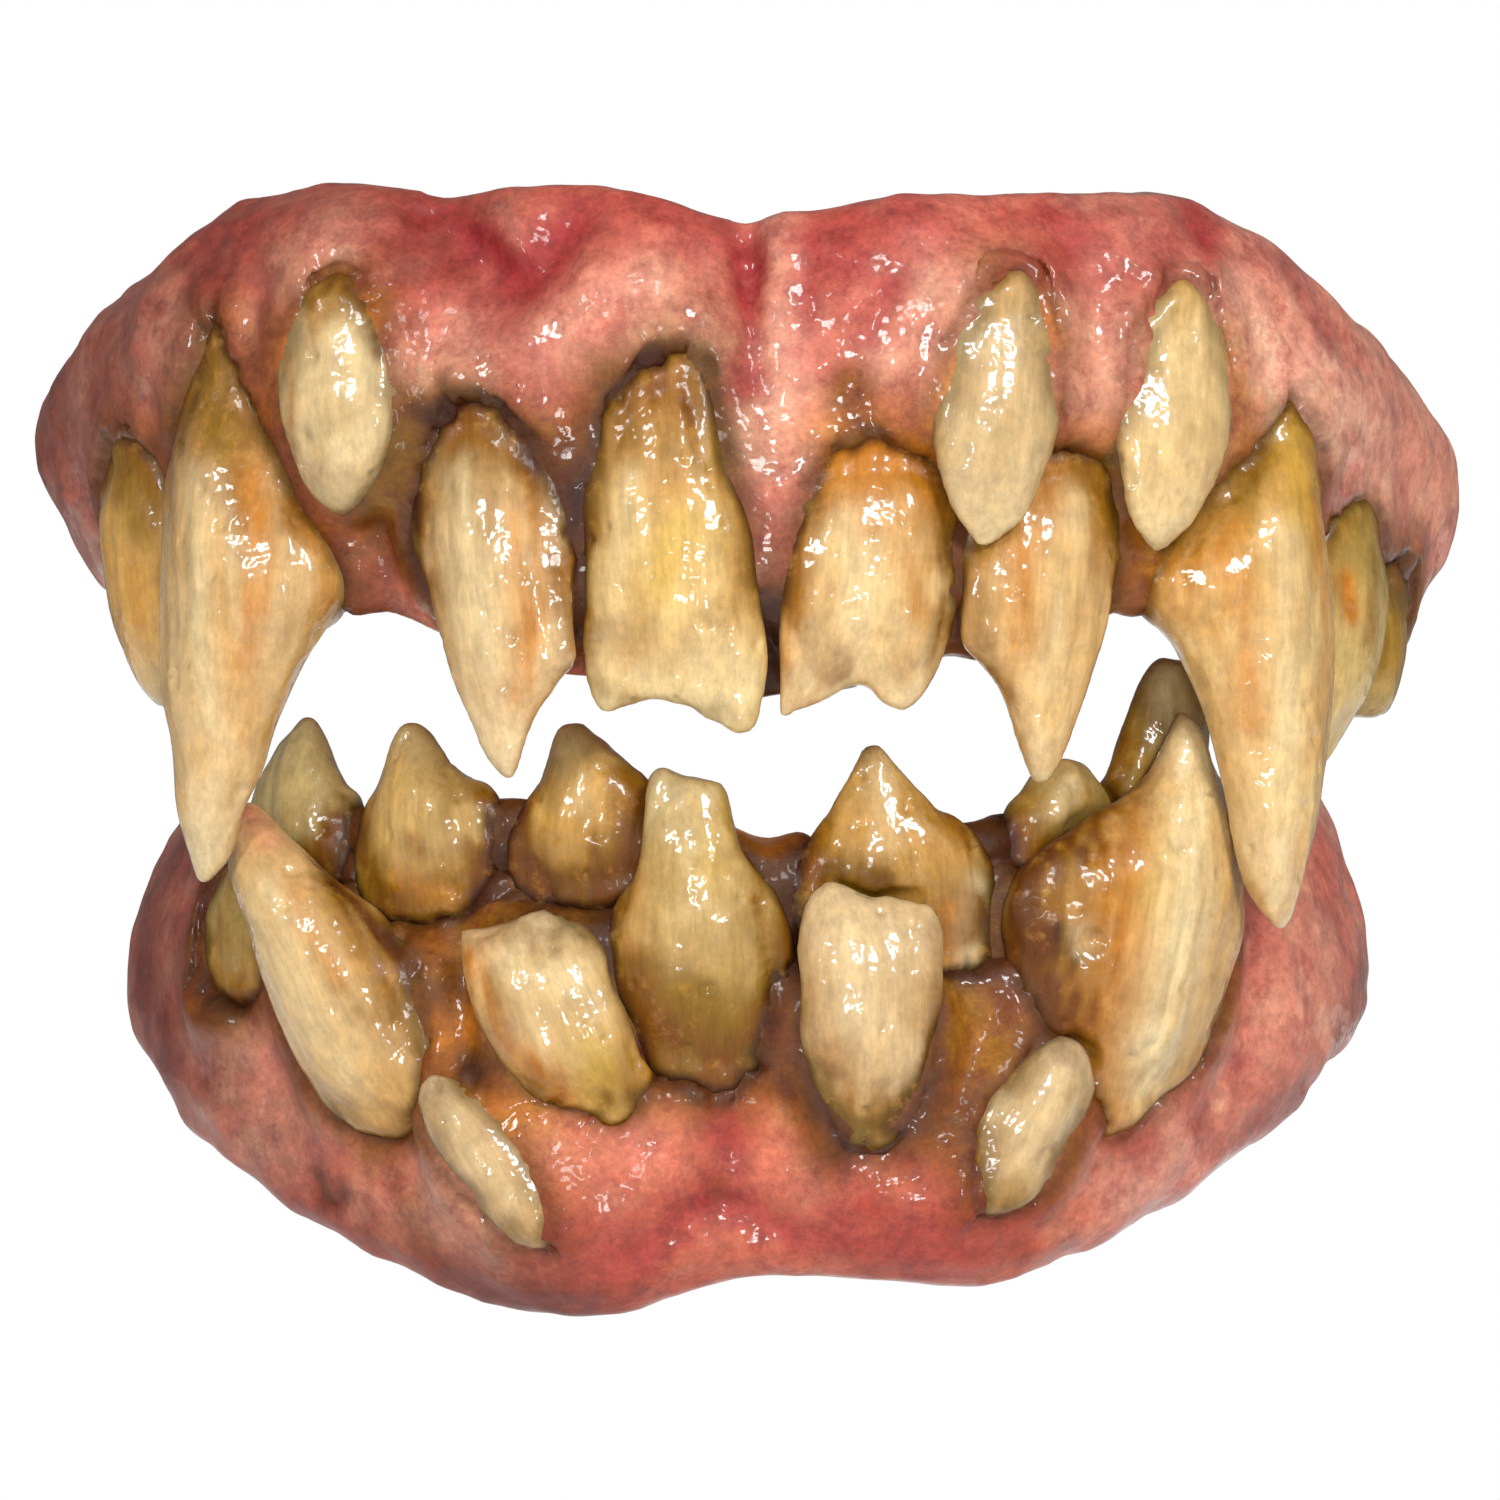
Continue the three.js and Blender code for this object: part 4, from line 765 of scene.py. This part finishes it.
def tooth_tone(tooth):
    """Each point's colour as it looks. The strokes that have relief are raised as well."""
    crown, streak, root, tip, reach, streaky, edge_stain_and_shade, soiled = TOOTH_TONES[tooth.node]
    surface = tooth.surface
    fibre, wide_fibre = tooth.fibre(0.5, 2), tooth.fibre(1.3, 3)
    blotch = rough(surface.points, 1.8, tooth.seed + 900)
    normals = surface.normals()
    tone = np.tile(linear(crown), (len(surface.points), 1))
    tone = tint(tone, linear(tip), 0.9 * ease(0.72, 1.0, tooth.share + 0.03 * blotch))
    streaks = wide_fibre + 0.35 * fibre + 0.3 * blotch
    tone = tint(tone, linear(streak), streaky * ease(-0.4, 1.5, streaks))
    # Flanks that turn aside are darker: partly an edge stain and partly painted shade.
    tone = tint(tone, linear(streak) * 0.85, edge_stain_and_shade * ease(0.5, 0.95, np.abs(normals @ tooth.side)))
    drop = tooth.share + 0.05 * wide_fibre + 0.03 * blotch
    tone = tint(tone, linear(root), 0.9 * ease(reach + 0.22, reach - 0.08, drop))
    for stroke_colour, width, strong, relief, route in TOOTH_STROKES.get(tooth.node, []):
        share = touched(surface.points, sighted(surface.tree(), route), width)
        surface.points += normals * (relief * share)[:, None]
        tone = tint(tone, STAINS_AND_SHADES[stroke_colour], strong * share * np.clip(1 + 0.2 * fibre, 0.4, 1.5))
    _, gaps, _ = nearest(all_gums[tooth.gum], surface.points, 3.0)
    soil = np.exp(-(gaps / 1.3) ** 2) * ease(-1.6, 0.8, blotch + 0.5 * fibre)
    tone = tint(tone, linear("86500f"), (0.1 + soiled) * soil)
    # A dark line where the tooth meets the gum: painted shade in the crevice, and dirt where the
    # tooth is soiled.
    tone = tint(tone, linear("2e1a0a"), (0.35 + 0.6 * soiled) * np.exp(-(gaps / 0.4) ** 2))
    return tone


def set_inputs(node, **values):
    """Sets a node's inputs by name, with _ for a space."""
    for key, value in values.items():
        node.inputs[key.replace("_", " ")].default_value = value


class Finish:
    """A node material: a painted tone, with its fine detail, gloss and relief from nodes."""

    def __init__(self, name):
        self.material = bpy.data.materials.new(name)
        self.material.use_nodes = True
        self.tree = self.material.node_tree
        self.shader = self.tree.nodes["Principled BSDF"]

    def add(self, kind, **values):
        """A new node with its settings, or else its inputs, set by name."""
        node = self.tree.nodes.new(kind)
        for key, value in values.items():
            if key in node.bl_rna.properties:
                setattr(node, key, value)
            else:
                set_inputs(node, **{key: value})
        return node

    def plug(self, output, target):
        self.tree.links.new(output, target)

    def attribute(self, name):
        return self.add("ShaderNodeAttribute", attribute_name=name)

    def noise(self, place, scale, detail, roughness):
        node = self.add("ShaderNodeTexNoise", Scale=scale, Detail=detail, Roughness=roughness)
        self.plug(place, node.inputs["Vector"])
        return node.outputs["Fac"]

    def remap(self, value, low, high, to_low, to_high):
        node = self.add("ShaderNodeMapRange")
        set_inputs(node, From_Min=low, From_Max=high, To_Min=to_low, To_Max=to_high)
        self.plug(value, node.inputs["Value"])
        return node.outputs["Result"]

    def scaled(self, colour, value):
        """A colour multiplied by a value."""
        node = self.add("ShaderNodeVectorMath", operation="SCALE")
        self.plug(colour, node.inputs[0])
        self.plug(value, node.inputs["Scale"])
        return node.outputs["Vector"]

    def blend(self, share, colour, other):
        """A colour moved towards a fixed one by a share."""
        node = self.add("ShaderNodeMix", data_type="RGBA")
        self.plug(share, node.inputs["Factor"])
        self.plug(colour, node.inputs["A"])
        node.inputs["B"].default_value = (*other, 1)
        return node.outputs["Result"]

    def dyed(self, share, colour, dye):
        """A colour moved towards itself times a dye by a share."""
        product = self.add("ShaderNodeVectorMath", operation="MULTIPLY")
        self.plug(colour, product.inputs[0])
        product.inputs[1].default_value = dye
        node = self.add("ShaderNodeMix", data_type="RGBA")
        self.plug(share, node.inputs["Factor"])
        self.plug(colour, node.inputs["A"])
        self.plug(product.outputs["Vector"], node.inputs["B"])
        return node.outputs["Result"]

    def bump(self, height, strength, distance, normal=None):
        node = self.add("ShaderNodeBump", Strength=strength, Distance=distance * MM)
        self.plug(height, node.inputs["Height"])
        if normal:
            self.plug(normal, node.inputs["Normal"])
        return node.outputs["Normal"]


def gum_finish():
    """Mottled, veined flesh under a wet film that sparkles in patches."""
    finish = Finish("wet_gum")
    tone = finish.attribute("tone").outputs["Color"]
    place = finish.add("ShaderNodeTexCoord").outputs["Object"]
    mottle = finish.noise(place, 900, 8, 0.78)
    specks = finish.noise(place, 3200, 3, 0.6)
    veins = finish.noise(place, 420, 8, 0.75)
    patches = finish.noise(place, 520, 6, 0.65)
    colour = finish.scaled(tone, finish.remap(mottle, 0.4, 0.6, 0.8, 1.18))
    colour = finish.scaled(colour, finish.remap(specks, 0.35, 0.65, 0.9, 1.1))
    colour = finish.dyed(finish.remap(patches, 0.5, 0.66, 0, 0.8), colour, (1.12, 1.45, 1.4))
    colour = finish.dyed(finish.remap(veins, 0.5, 0.64, 0, 0.8), colour, (0.68, 0.42, 0.46))
    finish.plug(colour, finish.shader.inputs["Base Color"])
    finish.plug(finish.remap(mottle, 0.3, 0.7, 0.28, 0.45), finish.shader.inputs["Roughness"])
    under = finish.bump(mottle, 0.35, 0.25)
    under = finish.bump(specks, 0.2, 0.06, under)
    finish.plug(under, finish.shader.inputs["Normal"])
    film = finish.bump(finish.noise(place, 1200, 1, 0.5), 0.55, 0.25)
    finish.plug(film, finish.shader.inputs["Coat Normal"])
    wet = finish.noise(place, 210, 3, 0.5)
    shine = finish.add("ShaderNodeMath", operation="MULTIPLY")
    finish.plug(finish.remap(wet, 0.42, 0.58, 0.25, 1.0), shine.inputs[0])
    finish.plug(finish.attribute("gloss").outputs["Fac"], shine.inputs[1])
    finish.plug(shine.outputs["Value"], finish.shader.inputs["Coat Weight"])
    set_inputs(finish.shader, Base_Color=(0.6, 0.2, 0.2, 1), Coat_IOR=1.35, Coat_Roughness=0.12,
               Specular_IOR_Level=0.15, Subsurface_Weight=0.15,
               Subsurface_Radius=(1.0, 0.35, 0.25), Subsurface_Scale=0.9 * MM)
    return finish.material


def tooth_finish():
    """Streaked and pored enamel under a thin wet film."""
    finish = Finish("stained_tooth")
    tone = finish.attribute("tone").outputs["Color"]
    grain = finish.attribute("grain").outputs["Vector"]
    place = finish.add("ShaderNodeTexCoord").outputs["Object"]
    streaks = finish.noise(grain, 3.2, 6, 0.7)
    clouds = finish.noise(place, 900, 6, 0.7)
    pores = finish.noise(place, 4200, 2, 0.5)
    colour = finish.scaled(tone, finish.remap(streaks, 0.38, 0.62, 0.88, 1.1))
    colour = finish.scaled(colour, finish.remap(clouds, 0.38, 0.62, 0.88, 1.1))
    colour = finish.blend(finish.remap(clouds, 0.56, 0.75, 0, 0.35), colour, linear("b98a48"))
    colour = finish.blend(finish.remap(pores, 0.68, 0.8, 0, 0.3), colour, linear("7a5222"))
    finish.plug(colour, finish.shader.inputs["Base Color"])
    finish.plug(finish.remap(streaks, 0.3, 0.7, 0.25, 0.42), finish.shader.inputs["Roughness"])
    under = finish.bump(streaks, 0.3, 0.12)
    finish.plug(under, finish.shader.inputs["Normal"])
    film = finish.bump(finish.noise(place, 1400, 1, 0.5), 0.5, 0.22)
    finish.plug(film, finish.shader.inputs["Coat Normal"])
    finish.plug(finish.attribute("gloss").outputs["Fac"], finish.shader.inputs["Coat Weight"])
    set_inputs(finish.shader, Base_Color=(0.6, 0.45, 0.25, 1), Coat_IOR=1.38, Coat_Roughness=0.12,
               Specular_IOR_Level=0.15, Subsurface_Weight=0.1,
               Subsurface_Radius=(1.0, 0.7, 0.4), Subsurface_Scale=0.6 * MM)
    return finish.material


def gloss_of(tone, least):
    """How thick the wet film is: dark stains are duller."""
    return least + (1 - least) * ease(0.03, 0.2, tone @ [0.3, 0.6, 0.1])


def piece(name, surface, tone, material, node, gloss, grain=None):
    """Makes a piece that stands for a CAD node, with its painted tone, gloss and grain."""
    mesh = bpy.data.meshes.new(name)
    mesh.from_pydata((surface.points * MM).tolist(), [], surface.faces.tolist())
    mesh.shade_smooth()
    rows = [("tone", "FLOAT_COLOR", "color", np.hstack([tone, np.ones((len(tone), 1))]))]
    if grain is not None:
        rows.append(("grain", "FLOAT_VECTOR", "vector", grain))
    rows.append(("gloss", "FLOAT", "value", gloss))
    for title, kind, field, values in rows:
        layer = mesh.attributes.new(title, kind, "POINT")
        layer.data.foreach_set(field, values.astype(np.float32).ravel())
    mesh.materials.append(material)
    obj = bpy.data.objects.new(name, mesh)
    scene.collection.objects.link(obj)
    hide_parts(node)
    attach(obj, "root")


# The tones are colours as they look. Each level is the share that gives that look under these
# lamps, and each veil is the pale sheen that the wet film adds, which is taken off.
TOOTH_LEVEL = np.array([0.59, 0.56, 0.52])
TOOTH_VEIL = np.array([0, 0.002, 0.012])
GUM_LEVEL = np.array([0.7, 0.63, 0.6])
GUM_VEIL = np.array([0, 0.002, 0.008])
enamel = tooth_finish()
for name, tooth in teeth.items():
    tone = np.maximum(tooth_tone(tooth) * TOOTH_LEVEL - TOOTH_VEIL, LEAST_TONE)
    piece(name + "_enamel", tooth.surface, tone, enamel, name,
          gloss_of(tone, 0.1), tooth.grain * [1, 1 / 8, 1])
skin = gum_finish()
for name, gum in gums.items():
    tone = np.maximum(gum.tone() * GUM_LEVEL - GUM_VEIL, LEAST_TONE)
    piece(name + "_skin", gum.surface, tone, skin, name,
          gloss_of(tone, 0.6) * (1 - 0.7 * gum.left_shade()))


def floor():
    """A plain pale floor under the hanging plates."""
    work = bmesh.new()
    bmesh.ops.create_circle(work, cap_ends=True, segments=96, radius=0.34)
    mesh = bpy.data.meshes.new("floor")
    work.to_mesh(mesh)
    work.free()
    obj = bpy.data.objects.new("floor", mesh)
    obj.location = (0, 0, -0.06)
    finish = Finish("floor")
    set_inputs(finish.shader, Base_Color=(0.85, 0.85, 0.85, 1), Roughness=0.9)
    mesh.materials.append(finish.material)
    scene.collection.objects.link(obj)


def lamp(name, place, watts, size, glossy=True):
    """A square lamp aimed at the middle of the teeth."""
    light = bpy.data.lights.new(name, "AREA")
    light.energy = watts
    light.size = size
    obj = bpy.data.objects.new(name, light)
    obj.location = place
    obj.rotation_euler = (-Vector(place)).to_track_quat("-Z", "Y").to_euler()
    obj.visible_glossy = glossy
    scene.collection.objects.link(obj)


floor()
lamp("key", (0.24, -0.46, 0.3), 2.9, 0.13)
lamp("fill", (-0.3, -0.44, 0.2), 1.5, 0.1)
lamp("front", (0.04, -0.6, -0.02), 1.0, 0.08)
lamp("back", (-0.1, 0.5, 0.3), 2.0, 0.3, glossy=False)

world = bpy.data.worlds.new("studio")
world.use_nodes = True
scene.world = world
sky = world.node_tree.nodes["Background"]
sky.inputs["Color"].default_value = (1, 1, 1, 1)
# Soft light from the viewer's side that fades towards the back, and white straight behind.
way = world.node_tree.nodes.new("ShaderNodeTexCoord")
apart = world.node_tree.nodes.new("ShaderNodeSeparateXYZ")
total = world.node_tree.nodes.new("ShaderNodeMath")
world.node_tree.links.new(way.outputs["Generated"], apart.inputs["Vector"])
for slot, numbers in enumerate(((-0.5, 0.8, 0.52, 0.2), (0.988, 0.9965, 0.0, 0.8))):
    fade = world.node_tree.nodes.new("ShaderNodeMapRange")
    fade.interpolation_type = "SMOOTHSTEP"
    set_inputs(fade, **dict(zip(("From_Min", "From_Max", "To_Min", "To_Max"), numbers)))
    world.node_tree.links.new(apart.outputs["Y"], fade.inputs["Value"])
    world.node_tree.links.new(fade.outputs["Result"], total.inputs[slot])
world.node_tree.links.new(total.outputs["Value"], sky.inputs["Strength"])

camera = bpy.data.cameras.new("camera")
camera.sensor_width = SENSOR
camera.lens = SENSOR * (CAMERA_BACK + FOCUS_DEPTH) / PICTURE_WIDTH
camera.clip_end = 10
viewer = bpy.data.objects.new("camera", camera)
viewer.location = (0, -CAMERA_BACK * MM, 0)
viewer.rotation_euler = (math.pi / 2, 0, 0)
scene.collection.objects.link(viewer)
scene.camera = viewer
scene.view_settings.view_transform = "Standard"
